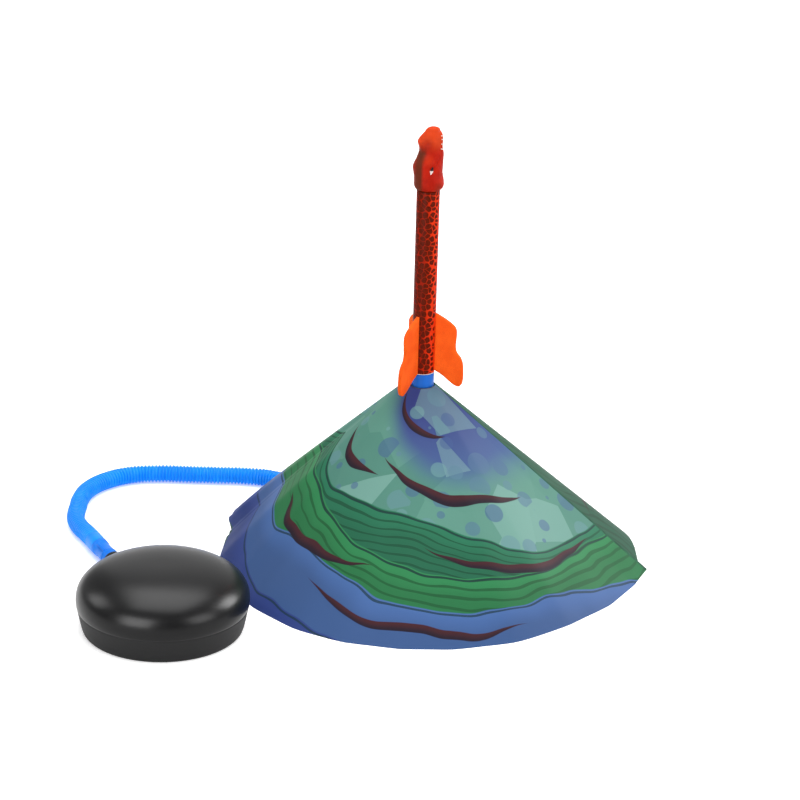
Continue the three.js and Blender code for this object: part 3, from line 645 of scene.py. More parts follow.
def grain_group():
    """Fine moulded grain and slow blotches, shared by the plastics, rubbers and foam."""
    group = bpy.data.node_groups.new("moulded_grain", "ShaderNodeTree")
    for name in ("Grain", "Blotch"):
        group.interface.new_socket(f"{name} Scale", in_out="INPUT", socket_type="NodeSocketFloat")
        group.interface.new_socket(name, in_out="OUTPUT", socket_type="NodeSocketFloat")
    inlet = group.nodes.new("NodeGroupInput")
    outlet = group.nodes.new("NodeGroupOutput")
    place = object_place(group)
    for name, detail in (("Grain", 3.0), ("Blotch", 2.0)):
        scale = inlet.outputs[f"{name} Scale"]
        texture = add_node(group, "ShaderNodeTexNoise", Vector=place, Scale=scale, Detail=detail)
        put(outlet.inputs[name], texture.outputs["Fac"])
    return group


GRAIN = grain_group()


def grain(tree, grain_scale, blotch_scale):
    made = add_node(tree, "ShaderNodeGroup", {"node_tree": GRAIN}, grain_scale, blotch_scale)
    return made.outputs["Grain"], made.outputs["Blotch"]


def blotched(slow, tones):
    return mix(step(slow, *BLOTCH_EDGES), *tones)


def varied_material(name, dark, light, rough, grain_scale, blotch_scale, depth, sockets):
    """One colour that varies slowly over the surface, with a fine grain in its relief and gloss."""
    material, tree, shader = new_material(name, **sockets)
    fine, slow = grain(tree, grain_scale, blotch_scale)
    colour = blotched(slow, (dark, light))
    fill(shader, Base_Color=colour, Roughness=spread(fine, *rough), Normal=relief(fine, depth))
    return material


# Stage: pale floor, soft lights and the camera

def add_light(kind, name, power, place, aim):
    deselect_all()
    bpy.ops.object.light_add(type=kind, location=place)
    light = named(name)
    light.data.energy = power
    light.rotation_euler = aim.to_track_quat("-Z", "Y").to_euler()
    return light


def make_stage():
    deselect_all()
    bpy.ops.mesh.primitive_plane_add(size=FLOOR_SIZE, location=(0, 0, 0))
    floor = named("studio_floor")
    material = new_material("studio_floor", Roughness=1.0, Specular_IOR_Level=0.0, Base_Color=FLOOR_TONE,
                            Emission_Color=WHITE, Emission_Strength=FLOOR_GLOW)[0]
    floor.data.materials.append(material)

    world = bpy.data.worlds.new("studio")
    world.use_nodes = True
    fill(world.node_tree.nodes["Background"], Color=WHITE, Strength=SKY_STRENGTH)
    bpy.context.scene.world = world
    bpy.context.scene.view_settings.view_transform = "Standard"

    sun = add_light("SUN", "ceiling_light", CEILING_POWER, (0, 0, 0), CEILING_AIM)
    sun.data.angle = CEILING_SPREAD
    sun.visible_glossy = False
    crown = bladder_axis + Vector((0, 0, bladder_height))
    for name, direction, distance, size, power in SOFTBOXES:
        reach = Vector(direction) * distance
        light = add_light("AREA", name, power, crown + reach, -reach)
        light.data.size = size
        light.visible_diffuse = name == LIGHTING_SOFTBOX


def make_camera():
    deselect_all()
    bpy.ops.object.camera_add()
    camera = named("photo_camera")
    camera.data.sensor_width = SENSOR_WIDTH
    camera.data.lens = FOCAL_PIXELS * SENSOR_WIDTH / IMAGE_PIXELS
    turn = rotation(90 - CAMERA_PITCH, "X") @ rotation(CAMERA_ROLL, "Z")
    camera.matrix_world = Matrix.Translation(launch_axis + CAMERA_PLACE) @ turn
    bpy.context.scene.camera = camera


# Finishes

def head_vinyl():
    """Red vinyl, orange towards the snout as painted light, with brown painted shade down the back of the
    head.
    """
    material, tree, shader = new_material("nose_vinyl", Specular_IOR_Level=0.04)
    fine, slow = grain(tree, 900, 90)
    x, y, z = split(object_place(tree))

    def climb(low, high):
        """0 to 1 between two heights above the base, in millimetres."""
        return step(z, nose_low.z + low * MM, nose_low.z + high * MM)

    # Painted light: the red turns orange towards the snout's top
    colour = mix(climb(*SNOUT_LIGHT_CLIMB), blotched(slow, VINYL_REDS), SNOUT_LIT_ORANGE)

    # The brown painted shade leans towards the middle as it climbs to the nostril
    middle = spread(climb(*STRIPE_CLIMB), *(launch_axis.x + place * MM for place in STRIPE_PLACES))
    across = calc("MULTIPLY_ADD", slow, STRIPE_WOBBLE * MM, x)
    ahead = calc("SUBTRACT", across, middle)
    aside = calc("MAXIMUM", ahead, calc("MULTIPLY", ahead, STRIPE_BACK))
    painted_shade_share = step(aside, *(distance * MM for distance in STRIPE_BLUR))
    painted_shade_share = calc("MULTIPLY", painted_shade_share, climb(*STRIPE_END))
    colour = mix(calc("MULTIPLY", painted_shade_share, STRIPE_STRENGTH), colour, PAINTED_SHADE_BROWN)

    aside = calc("ABSOLUTE", calc("SUBTRACT", y, launch_axis.y))
    mirrored = follow("ShaderNodeCombineXYZ", None, x, aside, z).outputs["Vector"]
    # Painted shade under the nostril and round the base, and a painted highlight over the brow
    for spot, size, tone, strength in HEAD_SHADE_AND_HIGHLIGHT_SPOTS:
        middle = Vector((launch_axis.x, 0, nose_low.z)) + Vector(spot) * MM
        near = step(vector_calc("DISTANCE", mirrored, middle)["Value"], size * MM, 0)
        colour = mix(calc("MULTIPLY", near, strength), colour, tone)
    fill(shader, Base_Color=colour, Roughness=spread(fine, 0.42, 0.58), Normal=relief(fine, 0.08))
    return material


def eye_paint():
    """Painted eye: dark towards the snout, white behind."""
    material, tree, shader = new_material("eye_paint", Roughness=0.3, Specular_IOR_Level=0.1)
    height = split(object_place(tree))["Z"]
    edge = nose_low.z + EYE_PLACE[2] * MM + EYE_SPLIT
    dark = step(height, edge - EYE_SPLIT_BLUR, edge + EYE_SPLIT_BLUR)
    white = mix(grain(tree, 700, 160)[1], *EYE_WHITES)
    fill(shader, Base_Color=mix(dark, white, EYE_DARK))
    return material


def scale_print():
    """Dark rounded scales in a red network, which is thinner on the tube's left and darkened there with
    painted shade.
    """
    material, tree, shader = new_material("tube_print", Specular_IOR_Level=0.03)
    flat = add_node(tree, "ShaderNodeUVMap", {"uv_map": "wrap"}).outputs["UV"]
    warp = add_node(tree, "ShaderNodeTexNoise", FLAT_NOISE, Vector=flat, Scale=150.0, Detail=1.0)
    bent = vector_calc("MULTIPLY_ADD", warp.outputs["Color"], SCALE_WARP, flat)["Vector"]
    sockets = {"Vector": bent, "Scale": SCALES_PER_METRE, "Randomness": SCALE_SCATTER}
    edges = add_node(tree, "ShaderNodeTexVoronoi", {**FLAT_CELLS, "feature": "DISTANCE_TO_EDGE"}, **sockets)
    middles = add_node(tree, "ShaderNodeTexVoronoi", FLAT_CELLS, **sockets)
    x = split(object_place(tree))["X"]
    across = calc("SUBTRACT", x, launch_axis.x)
    left = step(across, *SCALE_TURN)
    # Painted shade: the network's red darkens towards the tube's left
    shade = step(across, *SCALE_PAINTED_SHADE)
    inside = calc("SUBTRACT", edges.outputs["Distance"], spread(left, *NET_WIDTHS))
    rounded = calc("SUBTRACT", spread(left, *SCALE_REACHES), middles.outputs["Distance"])
    cell = step(calc("SMOOTH_MIN", inside, rounded, 0.10), -0.05, 0.03)
    blotch = add_node(tree, "ShaderNodeTexNoise", Vector=flat, Scale=300.0, Detail=3.0).outputs["Fac"]
    colour = mix(cell, mix(shade, *NET_REDS_LIT_AND_SHADED), mix(blotch, *SCALE_BROWNS))
    fill(shader, Base_Color=colour, Roughness=spread(blotch, 0.32, 0.48), Normal=relief(cell, 0.05, 0.6))
    return material


def foam_finish():
    """Closed-cell foam sheet: matte orange with tiny open cells."""
    material, tree, shader = new_material("fin_foam", Specular_IOR_Level=0.08)
    fine, slow = grain(tree, 1400, 70)
    cells = add_node(tree, "ShaderNodeTexVoronoi", Vector=object_place(tree), Scale=1500.0)
    pores = step(cells.outputs["Distance"], 0.12, 0.5)
    colour = mix(pores, FOAM_PORE, blotched(slow, FOAM_ORANGES))
    fill(shader, Base_Color=colour, Roughness=spread(fine, 0.70, 0.86), Normal=relief(pores, 0.12, 0.7))
    return material


def sheet_print():
    """Printed glossy sheet: slanting bands from violet to blue, with bubbles, shards and streaks."""
    material, tree, shader = new_material("skirt_print", Specular_IOR_Level=0.07)
    flat = add_node(tree, "ShaderNodeUVMap", {"uv_map": "print"}).outputs["UV"]
    down, across, _ = split(flat)
    slant = vector_calc("LENGTH", flat)["Value"]
    turn = calc("ARCTAN2", across, down)
    ripples = add_node(tree, "ShaderNodeTexNoise", FLAT_NOISE, Vector=flat, Scale=9.0, Detail=2.0)
    ripple = ripples.outputs["Fac"]
    swirl = calc("MULTIPLY_ADD", turn, SWIRL, slant)
    swirl = calc("MULTIPLY_ADD", ripple, SWIRL_RIPPLE, swirl)

    def past_edge(level, swing, waves, phase):
        """How far past a band's swaying upper edge a point of the sheet lies."""
        sway = calc("SINE", calc("MULTIPLY_ADD", turn, waves, phase))
        return calc("SUBTRACT", swirl, calc("MULTIPLY_ADD", sway, swing, level))

    def paint(colour, mask, tone, share=1.0):
        if share < 1:
            mask = calc("MULTIPLY", mask, share)
        return mix(mask, colour, tone)

    def darker(tone, share):
        return tuple(share * part for part in tone)

    # Violet at the top and mint below, in shards of which some are paler
    shards = add_node(tree, "ShaderNodeTexVoronoi", FLAT_CELLS, Vector=flat, Scale=21.0)
    shard = split(shards.outputs["Color"])["X"]
    violet = mix(step(slant, 0.03, 0.13), *SHEET_VIOLETS)
    mint = mix(shard, *SHEET_MINTS)
    colour = paint(violet, step(past_edge(*MINT_EDGE), -0.025, 0.025), mint)
    colour = paint(colour, calc("GREATER_THAN", shard, 0.74), SHARD_TONE, 0.35)

    # Bubbles of mixed sizes
    bubbles = add_node(tree, "ShaderNodeTexVoronoi", FLAT_CELLS, Vector=flat, Scale=34.0)
    size_draw, tone_draw, _ = split(bubbles.outputs["Color"])
    size = calc("MULTIPLY_ADD", size_draw, 0.42, 0.02)
    bubble = step(calc("SUBTRACT", size, bubbles.outputs["Distance"]), 0.0, 0.03)
    colour = paint(colour, bubble, mix(tone_draw, *BUBBLE_TONES), 0.55)

    # How far past the edge of a border down one side of the back panel, and well short of it on the front
    place = vector_calc("SUBTRACT", object_place(tree), launch_axis)["Vector"]
    behind = vector_calc("DOT_PRODUCT", place, BACK_FACING)["Value"]
    short = calc("SUBTRACT", calc("GREATER_THAN", behind, 0.0), 1.0)
    aside = calc("MULTIPLY_ADD", ripple, BORDER_RIPPLE, calc("SUBTRACT", turn, BORDER_TURN))
    border = calc("MULTIPLY_ADD", aside, slant, short)

    # Bands, the green ones with fine strokes along them and each with a dark line under its upper edge
    bands = [(past_edge(*edge), tone, pitch) for edge, tone, pitch in SHEET_BANDS]
    for past, tone, pitch in [*bands, (border, *BORDER_BAND)]:
        shade = mix(step(past, 0.0, 0.03), tone, darker(tone, 0.7))
        if pitch:
            stroke = calc("SINE", calc("MULTIPLY", past, math.tau / pitch))
            broken = step(calc("MULTIPLY_ADD", ripple, 1.6, stroke), 1.35, 1.55)
            shade = paint(shade, broken, darker(tone, 0.38), 0.85)
        colour = paint(colour, step(past, -0.0006, 0.0006), shade)
        colour = paint(colour, calc("COMPARE", past, 0.0026, 0.0011), BAND_LINE, 0.8)

    # Dark streaks that run with the bands, pointed at both ends
    for level, low, high, width in SHEET_STREAKS:
        rate = math.pi / (high - low)
        along = calc("MULTIPLY_ADD", turn, rate, -low * rate)
        along = calc("MINIMUM", calc("MAXIMUM", along, 0.0), math.pi)
        taper = calc("SINE", along)
        aside = calc("SUBTRACT", swirl, calc("MULTIPLY_ADD", taper, STREAK_BEND, level))
        away = calc("MULTIPLY", calc("ABSOLUTE", aside), -1.0)
        room = calc("MULTIPLY_ADD", taper, width, away)
        maroon = mix(step(aside, -0.004, 0.004), *STREAK_TONES)
        colour = paint(colour, step(room, 0.0, 0.0008), maroon)

    fill(shader, Base_Color=colour, Roughness=spread(ripple, 0.44, 0.58))
    return material


def bladder_skin():
    """Satin black rubber: the dome a little glossier than the wall under its crease."""
    material, tree, shader = new_material("bladder_rubber", Specular_IOR_Level=0.18)
    fine, slow = grain(tree, 1100, 22)
    height = split(object_place(tree))["Z"]
    dome = step(height, BLADDER_CREASE - 2 * MM, BLADDER_CREASE + 2 * MM)
    colour = mix(dome, WALL_BLACK, mix(slow, *DOME_BLACKS))
    rough = calc("MULTIPLY_ADD", fine, 0.08, spread(dome, 0.56, 0.27))
    fill(shader, Base_Color=colour, Roughness=rough, Normal=relief(fine, 0.05, 0.6))
    return material


# Rocket

def head_section(height):
    """Shift towards the jaw, half depth and half width of the head at a height above its base."""
    lines = (HEAD_BACK, HEAD_JAW, HEAD_SIDE)
    back, jaw, side = (HEAD_BASE_RADIUS + smooth_value(line, height / MM) * MM for line in lines)
    return (jaw - back) / 2, (jaw + back) / 2, side


def make_head(vinyl, eye, ivory):
    """The animal head that looks upwards: back of the head to -X, jaw to +X."""
    top = HEAD_BACK[-1][0] * MM
    heights = [top * i / HEAD_RINGS for i in range(HEAD_RINGS + 1)]
    rings = [(height, *head_section(height)) for height in heights]
    shift, half, side = rings[-1][1:]
    rise = nose_high.z - nose_low.z + HEAD_TIP_RISE - top
    for share in HEAD_TIP_RINGS:
        shrink = math.sqrt(1 - share ** 2)
        rings.append((top + rise * share, shift + HEAD_TIP_SHIFT * share, half * shrink, side * shrink))
    piece = start_ring("rocket_head", HEAD_SIDES, HEAD_BASE_RADIUS, 0, "TRIFAN")
    centre = (0, 0, 0)
    for before, ring in zip(rings, rings[1:]):
        scale = (ring[2] / before[2], ring[3] / before[3])
        centre = extrude_ring(centre, ring[0] - before[0], scale, ring[1] - before[1])
    close_ring(HEAD_POLE_RISE * rise)
    outward_faces()
    apply_modifier(piece, "SUBSURF", levels=2, render_levels=2)
    sculpt_head(piece)
    smooth_shade(piece, 60)
    base = Matrix.Translation((launch_axis.x, launch_axis.y, nose_low.z))
    settle(piece, base)
    hand_over(piece, [vinyl], "rocket", "nose_vinyl", "rocket_nose")
    for turn, label in ((-1, "front"), (1, "back")):
        make_eye(turn, label, base, eye)
        make_teeth(turn, label, base, ivory)


def sculpt_head(piece):
    """Brows, eye sockets, cheeks, nostrils and the mouth line, pushed along the surface's normals."""
    bumps = [(Vector(place), width, height) for place, width, height in HEAD_BUMPS]
    mouth, brow, crest = ([Vector(point) for point in line] for line in (MOUTH_LINE, BROW_LINE, CREST_LINE))
    moves = []
    for vert in piece.data.vertices:
        point = Vector((vert.co.x, abs(vert.co.y), vert.co.z)) / MM
        push = sum(swell((point - place).length, width, height) for place, width, height in bumps)
        gap = line_distance(point, mouth)
        push += swell(gap, *MOUTH_GROOVE) + swell(gap - LIP_OFFSET, *LIP)
        push += swell(line_distance(point, brow), *BROW_RIDGE)
        push += swell(line_distance(point, crest), *CREST_RIDGE)
        push += SKIN_RELIEF * noise.noise(vert.co / SKIN_RELIEF_SIZE)
        moves.append(vert.co + vert.normal * (push * MM if vert.co.z > HEAD_FOOT else 0))
    for vert, moved in zip(piece.data.vertices, moves):
        vert.co = moved


def make_eye(turn, label, base, eye):
    """A raised oval eye with both ends drawn to a point."""
    deselect_all()
    bpy.ops.mesh.primitive_uv_sphere_add(segments=32, ring_count=20, radius=1)
    piece = named(f"eye_{label}")
    with edit_mode():
        for level in EYE_TAPER_LEVELS:
            pick_verts(piece, lambda point: abs(point.z) > level)
            bpy.ops.transform.resize(value=EYE_TAPER, center_override=(0, 0, 0))
    apply_modifier(piece, "SUBSURF", levels=1, render_levels=1)
    place = Matrix.Translation((EYE_PLACE[0] * MM, turn * EYE_PLACE[1] * MM, EYE_PLACE[2] * MM))
    size = Matrix.Diagonal((*(part * MM for part in EYE_SIZE), 1))
    settle(piece, base @ place @ rotation(EYE_TURN, "Y") @ size)
    smooth_shade(piece)
    hand_over(piece, [eye], "rocket", "nose_vinyl")


def make_teeth(turn, label, base, ivory):
    """A row of small teeth along the mouth line of one side."""
    mouth = [Vector((x, turn * y, z)) * MM for x, y, z in MOUTH_LINE]
    first, last = TEETH_SPAN
    teeth = []
    for i in range(TEETH_PER_SIDE):
        at = (first + (last - first) * i / (TEETH_PER_SIDE - 1)) * (len(mouth) - 1)
        index = min(int(at), len(mouth) - 2)
        point = mouth[index].lerp(mouth[index + 1], at - index) + Vector((TOOTH_REACH, 0, 0))
        deselect_all()
        bpy.ops.mesh.primitive_cone_add(vertices=TOOTH_SIDES, radius1=TOOTH_RADII[0], radius2=TOOTH_RADII[1],
                                        depth=TOOTH_LENGTH)
        tooth = named(f"teeth_{label}")
        apply_modifier(tooth, "BEVEL", width=TOOTH_ROUND, segments=2)
        settle(tooth, base @ Matrix.Translation(point) @ rotation(90, "Y"))
        teeth.append(tooth)
    piece = teeth[0]
    join_pieces(piece, teeth[1:])
    smooth_shade(piece)
    hand_over(piece, [ivory], "rocket", "nose_vinyl")


def make_tube(print_finish, paper):
    """The printed tube, with bare paper at its cut end and in its bore."""
    bottom, top = tube_low.z, tube_high.z
    inner = tube_radius - TUBE_WALL
    profile = [(tube_radius, bottom), (tube_radius, bottom + PAPER_SHOWN), (tube_radius, top), (inner, top),
               (inner, bottom)]
    piece = turned_piece("rocket_tube_skin", profile, TUBE_SIDES)
    round_edges(piece, TUBE_ROUND)
    settle(piece, Matrix.Translation(launch_axis))
    for face in piece.data.polygons:
        radius = (face.center - launch_axis).xy.length
        inside = radius < tube_radius - FILM_DEPTH and face.center.z < top - FILM_TURNED_IN
        if inside or face.center.z < bottom + 0.9 * PAPER_SHOWN:
            face.material_index = 1
    wrap_map(piece)
    smooth_shade(piece)
    hand_over(piece, [print_finish, paper], "rocket", "tube_print", "rocket_tube")


def wrap_map(piece):
    """Unrolls the tube for its print: distance round it and height, with the seam at its back."""
    layer = piece.data.uv_layers.active
    layer.name = "wrap"
    for face in piece.data.polygons:
        middle = math.atan2(launch_axis.x - face.center.x, launch_axis.y - face.center.y)
        for index in face.loop_indices:
            point = piece.data.vertices[piece.data.loops[index].vertex_index].co
            turn = math.atan2(launch_axis.x - point.x, launch_axis.y - point.y)
            turn += math.tau * round((middle - turn) / math.tau)
            layer.data[index].uv = (turn * tube_radius, point.z)


def make_fin(number, azimuth, lift, foam):
    """A die-cut foam fin: a flat curve with rounded cut edges, made a mesh."""
    deselect_all()
    bpy.ops.curve.primitive_bezier_circle_add()
    piece = named(f"foam_fin_{number}")
    curve = piece.data
    curve.dimensions = "2D"
    curve.fill_mode = "BOTH"
    curve.resolution_u = FIN_CURVE_STEPS
    spline = fresh_spline(curve, len(FIN_OUTLINE))
    spline.use_cyclic_u = True
    for i, (knot, (out, up)) in enumerate(zip(spline.bezier_points, FIN_OUTLINE)):
        place = (tube_radius + out * MM, tube_low.z + (up + lift) * MM, 0)
        place_knot(knot, place, "VECTOR" if i in FIN_SHARP_POINTS else "AUTO")
    curve.extrude = FIN_THICKNESS / 2 - FIN_ROUND
    curve.bevel_depth = FIN_ROUND
    curve.bevel_resolution = FIN_ROUND_STEPS
    curve.offset = -FIN_ROUND
    take(piece)
    bpy.ops.object.convert(target="MESH")
    piece = bpy.context.active_object
    bpy.ops.object.mode_set(mode="EDIT")
    outward_faces()
    settle(piece, Matrix.Translation(launch_axis) @ rotation(azimuth, "Z") @ rotation(90, "X"))
    smooth_shade(piece, 50)
    hand_over(piece, [foam], "rocket", "fin_foam", f"fin_{number}")


# Launcher

def finish_blue(piece, blue, node):
    smooth_shade(piece)
    hand_over(piece, [blue], "launcher", "blue_plastic", node)


def make_sleeve(name, node, inner, outer, low, high, rounding, blue):
    """A straight sleeve on the launch axis."""
    profile = [(inner, low), (outer, low), (outer, high), (inner, high)]
    piece = turned_piece(name, profile, TUBE_SIDES)
    round_edges(piece, rounding)
    settle(piece, Matrix.Translation(launch_axis))
    finish_blue(piece, blue, node)


def rim_of(node, last):
    """Radius of a panel's rim by azimuth, read from its solid, with azimuths up to the panel's last seam."""
    rim = {}
    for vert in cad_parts[node].data.vertices:
        if vert.co.z < RIM_HEIGHT:
            flat = vert.co - launch_axis
            azimuth = round(math.degrees(math.atan2(flat.y, flat.x)) % 360, 1)
            if azimuth > last + 90:
                azimuth -= 360
            rim[azimuth] = max(rim.get(azimuth, 0), math.hypot(flat.x, flat.y))
    return rim


def rim_radius(rim, azimuth):
    before = max((place for place in rim if place <= azimuth), default=min(rim))
    after = min((place for place in rim if place >= azimuth), default=max(rim))
    if after == before:
        return rim[before]
    share = (azimuth - before) / (after - before)
    return rim[before] + (rim[after] - rim[before]) * share


def sheet_place(azimuth, share, rim):
    """(radius, height) of the sheet at a share of the way from its hole to its rim."""
    def near(place, width):
        return swell((azimuth - place + 180) % 360 - 180, width, 1)

    to_front = 0.5 - 0.5 * math.sin(math.radians(azimuth))
    gap = COLLAR_GAP_BACK + (COLLAR_GAP_FRONT - COLLAR_GAP_BACK) * to_front
    hole = collar_radius + gap
    rim -= RIM_DENT * near(RIM_DENT_AZIMUTH, RIM_DENT_SPREAD) * share ** RIM_DENT_POWER
    slope = math.atan2(skirt_top, rim - hole)
    top = skirt_top - gap * math.tan(slope)
    bow = LEFT_BOW * near(LEFT_BOW_AZIMUTH, LEFT_BOW_SPREAD) * (1 - share ** LEFT_BOW_POWER)
    return hole + (rim - hole) * share + bow * math.sin(slope), top * (1 - share) + bow * math.cos(slope)


def facet_sag(azimuth, creases):
    """How far the rim sags in at an azimuth between two creases."""
    start = max(crease for crease in creases if crease <= azimuth)
    end = min(crease for crease in creases if crease > azimuth)
    part = (azimuth - start) / (end - start)
    sharp = 4 * part * (1 - part)
    smooth = 0.5 - 0.5 * math.cos(math.tau * part)
    return FACET_SAG * (smooth + (sharp - smooth) * CREASE_SHARPNESS) * (end - start) / FACET_SPAN


def make_panel(name, node, creases, print_finish, bare):
    """One printed panel of the skirt, with soft flat stretches between its creases."""
    first, last = creases[0], creases[-1]
    back = node == "skirt_back"
    half_turn = -PRINT_HALF_TURN if back else PRINT_HALF_TURN
    rim = rim_of(node, last)
    deselect_all()
    bpy.ops.mesh.primitive_grid_add(x_subdivisions=SHEET_COLUMNS, y_subdivisions=SHEET_ROWS, size=1)
    piece = named(name)
    prints = []
    for vert in piece.data.vertices:
        azimuth = first + SEAM_MARGIN + (last - first - 2 * SEAM_MARGIN) * (vert.co.x + 0.5)
        share = 0.5 - vert.co.y
        radius, height = sheet_place(azimuth, share, rim_radius(rim, azimuth))
        radius -= facet_sag(azimuth, creases) * share
        turn = math.radians(azimuth)
        vert.co = launch_axis + Vector((radius * math.cos(turn), radius * math.sin(turn), height))
        slant = APEX_GAP + math.hypot(radius - collar_radius, skirt_top - height)
        flat = half_turn * (2 * azimuth - first - last) / (last - first)
        prints.append((slant * math.cos(flat), slant * math.sin(flat)))
    layer = piece.data.uv_layers.active
    layer.name = "print"
    for loop in piece.data.loops:
        layer.data[loop.index].uv = prints[loop.vertex_index]
    with edit_mode():
        bpy.ops.mesh.select_all(action="SELECT")
        bpy.ops.mesh.normals_make_consistent(inside=False)
    if sum(face.normal.z for face in piece.data.polygons) < 0:
        with edit_mode():
            bpy.ops.mesh.flip_normals()
    piece.data.materials.append(print_finish)
    piece.data.materials.append(bare)
    apply_modifier(piece, "SOLIDIFY", thickness=SHEET_THICKNESS, offset=-1.0, use_even_offset=True,
                   material_offset=1)
    flatten_below(piece, 0)
    if back:
        cut_arch(piece)
    smooth_shade(piece, 25)
    hand_over(piece, [], "launcher", "skirt_print", node)


def cut_arch(piece):
    """Cuts the arch that the hose passes through."""
    deselect_all()
    bpy.ops.mesh.primitive_cylinder_add(vertices=ARCH_SIDES, radius=ARCH_HALF_WIDTH, depth=ARCH_CUT_LENGTH)
    tool = bpy.context.active_object
    with edit_mode():
        pick_verts(tool, lambda point: point.y < -1e-5)
        bpy.ops.transform.translate(value=(0, -ARCH_HEIGHT, 0))
    place = Matrix.Translation((ARCH_CUT_PLACE, 0, ARCH_HEIGHT - ARCH_HALF_WIDTH))
    settle(tool, Matrix.Translation(launch_axis) @ rotation(ARCH_AZIMUTH, "Z") @ place
           @ rotation(90, "Z") @ rotation(90, "X"))
    apply_modifier(piece, "BOOLEAN", object=tool, operation="DIFFERENCE", solver="EXACT")
    bpy.data.objects.remove(tool)


# Hose and its cuffs

def hose_path():
    """The hose's line and points close together along it."""
    deselect_all()
    bpy.ops.curve.primitive_bezier_curve_add()
    line = named("hose_line")
    line.data.dimensions = "3D"
    line.data.resolution_u = HOSE_PATH_STEPS
    knots = fresh_spline(line.data, len(HOSE_ROUTE)).bezier_points
    for knot, place in zip(knots, HOSE_ROUTE):
        place_knot(knot, launch_axis + Vector(place) * MM)
    bpy.context.view_layer.update()
    path = []
    for first, second in zip(knots, knots[1:]):
        corners = (first.co, first.handle_right, second.handle_left, second.co)
        path += interpolate_bezier(*corners, HOSE_PATH_STEPS)[:-1]
    path.append(knots[-1].co.copy())
    return line, path


def make_hose(blue):
    """The ribbed hose with its smooth bore, turned straight and then bent along its line."""
    line, path = hose_path()
    length = sum((b - a).length for a, b in zip(path, path[1:]))
    ribs = int((length - 2 * PLAIN_END) / RIB_PITCH)
    start = (length - ribs * RIB_PITCH) / 2
    end = start + ribs * RIB_PITCH
    rise = HOSE_RADIUS - HOSE_VALLEY_RADIUS
    profile = [(HOSE_BORE_RADIUS, 0), (HOSE_RADIUS, 0), (HOSE_RADIUS, start - RIB_PITCH / 3)]
    for i in range(ribs):
        for along, up in RIB_OUTLINE:
            profile.append((HOSE_VALLEY_RADIUS + up * rise, start + (i + along) * RIB_PITCH))
    profile += [(HOSE_VALLEY_RADIUS, end), (HOSE_RADIUS, end + RIB_PITCH / 3), (HOSE_RADIUS, length),
                (HOSE_BORE_RADIUS, length)]
    for i in range(ribs, -1, -BORE_STEP):
        profile.append((HOSE_BORE_RADIUS, start + i * RIB_PITCH))
    piece = turned_piece("air_hose", profile, HOSE_SIDES)
    apply_modifier(piece, "CURVE", object=line, deform_axis="POS_Z")
    bpy.data.objects.remove(line)
    smooth_shade(piece, 60)
    hand_over(piece, [blue], "launcher", "hose_plastic", "hose")
    return piece, path, length


def make_cuff(name, node, end, towards, blue):
    """A smooth cuff with a stop ring and two moulded lugs, from its plug to the spigot inside the hose."""
    outside = outline(CUFF_OUTLINE, CUFF_RADIUS)
    tip = CUFF_SHOWN + SPIGOT_LENGTH
    profile = [(CUFF_BORE, outside[0][1]), *outside, (SPIGOT_RADIUS, CUFF_SHOWN), (SPIGOT_RADIUS, tip),
               (CUFF_BORE, tip)]
    piece = turned_piece(name, profile, CUFF_SIDES)
    round_edges(piece, CUFF_ROUND)
    turn = facing(towards)
    aside = turn.inverted() @ LUG_FACING
    lugs = []
    for side in (0, math.pi):
        deselect_all()
        bpy.ops.mesh.primitive_cube_add(size=1)
        lug = bpy.context.active_object
        settle(lug, Matrix.Rotation(math.atan2(aside.y, aside.x) + side, 4, "Z")
               @ Matrix.Translation((CUFF_RADIUS, 0, LUG_PLACE)) @ Matrix.Diagonal((*LUG_SIZE, 1)))
        round_edges(lug, LUG_ROUND)
        lugs.append(lug)
    join_pieces(piece, lugs)
    settle(piece, Matrix.Translation(end) @ turn)
    finish_blue(piece, blue, node)
    return piece


# Stomp bladder

def make_bladder(rubber):
    """One blow-moulded skin from the floor over the crease to the crown."""
    profile = outline(BLADDER_WALL, bladder_radius - BLADDER_WALL_INSET)
    for i in range(DOME_RINGS):
        angle = math.pi / 2 * i / DOME_RINGS
        rise = (bladder_height - BLADDER_EQUATOR) * math.sin(angle) ** (2 / DOME_POWER)
        profile.append((bladder_radius * math.cos(angle) ** (2 / DOME_POWER), BLADDER_EQUATOR + rise))
    piece = turned_piece("stomp_bladder", profile, BLADDER_SIDES, closed=False)
    settle(piece, Matrix.Translation(bladder_axis))
    smooth_shade(piece, 60)
    piece.data.materials.append(rubber)
    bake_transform(piece)
    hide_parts("bladder_pan", "bladder_cap")


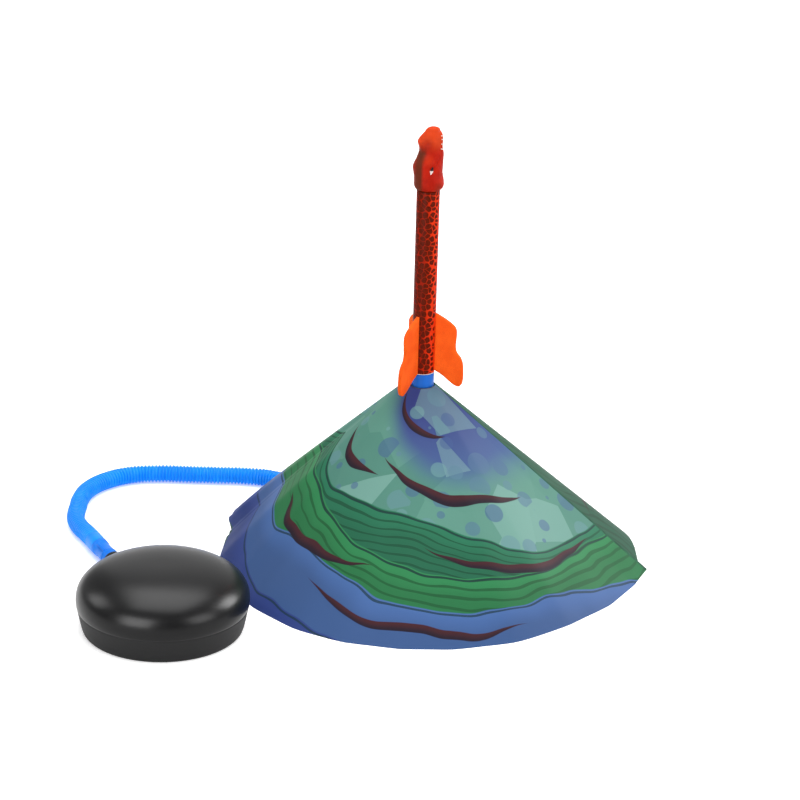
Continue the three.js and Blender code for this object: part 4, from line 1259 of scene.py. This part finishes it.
def make_neck(end, rubber):
    """The bladder's neck, flared into the wall, out to the hose's cuff."""
    root = bladder_axis + Vector((0, 0, end.z))
    away = end - root
    reach = away.length - NECK_BACK
    start = bladder_radius - BLADDER_WALL_INSET - NECK_INSET
    inner = CUFF_RADIUS + NECK_CLEARANCE
    profile = outline(NECK_FLARE, NECK_RADIUS, start) + outline(NECK_LIP, NECK_RADIUS, reach)
    piece = turned_piece("bladder_neck", [*profile, (inner, reach), (inner, start)], CUFF_SIDES)
    round_edges(piece, NECK_ROUND)
    settle(piece, Matrix.Translation(root) @ facing(away))
    flatten_below(piece, NECK_LIFT)
    smooth_shade(piece)
    hand_over(piece, [rubber], "launcher", "bladder_rubber")


# The object

deselect_all()
make_stage()
make_camera()

finish = {name: varied_material(name, *values) for name, values in PLAIN_FINISHES.items()}
rubber = bladder_skin()
foam = foam_finish()
skirt_finish = sheet_print()

hose, path, hose_length = make_hose(finish["hose_plastic"])
launcher_end = path[0] + (path[0] - path[1]).normalized() * CUFF_SHOWN
bladder_end = path[-1] + (path[-1] - path[-2]).normalized() * CUFF_SHOWN
cuff_blue = finish["cuff_plastic"]
launcher_cuff = make_cuff("cuff_launcher", "hose_cuff_launcher", launcher_end, path[1] - path[0], cuff_blue)
bladder_cuff = make_cuff("cuff_bladder", "hose_cuff_bladder", bladder_end, path[-2] - path[-1], cuff_blue)

make_bladder(rubber)
make_neck(bladder_end, rubber)

make_head(head_vinyl(), eye_paint(), finish["tooth_paint"])
make_tube(scale_print(), finish["tube_paper"])
for number, (azimuth, lift) in enumerate(zip(FIN_AZIMUTHS, FIN_LIFTS), start=1):
    make_fin(number, azimuth, lift, foam)
make_sleeve("collar_sleeve", "launch_collar", launch_radius + COLLAR_CLEARANCE, collar_radius,
            collar_low.z, collar_high.z, COLLAR_ROUND, finish["blue_plastic"])
make_sleeve("launch_tube_skin", "launch_tube", launch_radius - LAUNCH_TUBE_WALL, launch_radius,
            launch_low.z, launch_high.z, LAUNCH_TUBE_ROUND, finish["blue_plastic"])
make_panel("printed_front", "skirt_front", CREASES_FRONT, skirt_finish, finish["sheet_back"])
make_panel("printed_back", "skirt_back", CREASES_BACK, skirt_finish, finish["sheet_back"])

kept = {"stand_hub": finish["stand_plastic"], "hose_elbow": finish["stand_plastic"], "nose_plug": foam}
for number in (1, 2, 3):
    kept[f"leg_{number}"] = finish["stand_plastic"]
    kept[f"foot_{number}"] = finish["foot_rubber"]
    kept[f"leg_pin_{number}"] = finish["pin_steel"]
for node, material in kept.items():
    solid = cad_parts[node]
    solid.data.materials.clear()
    solid.data.materials.append(material)
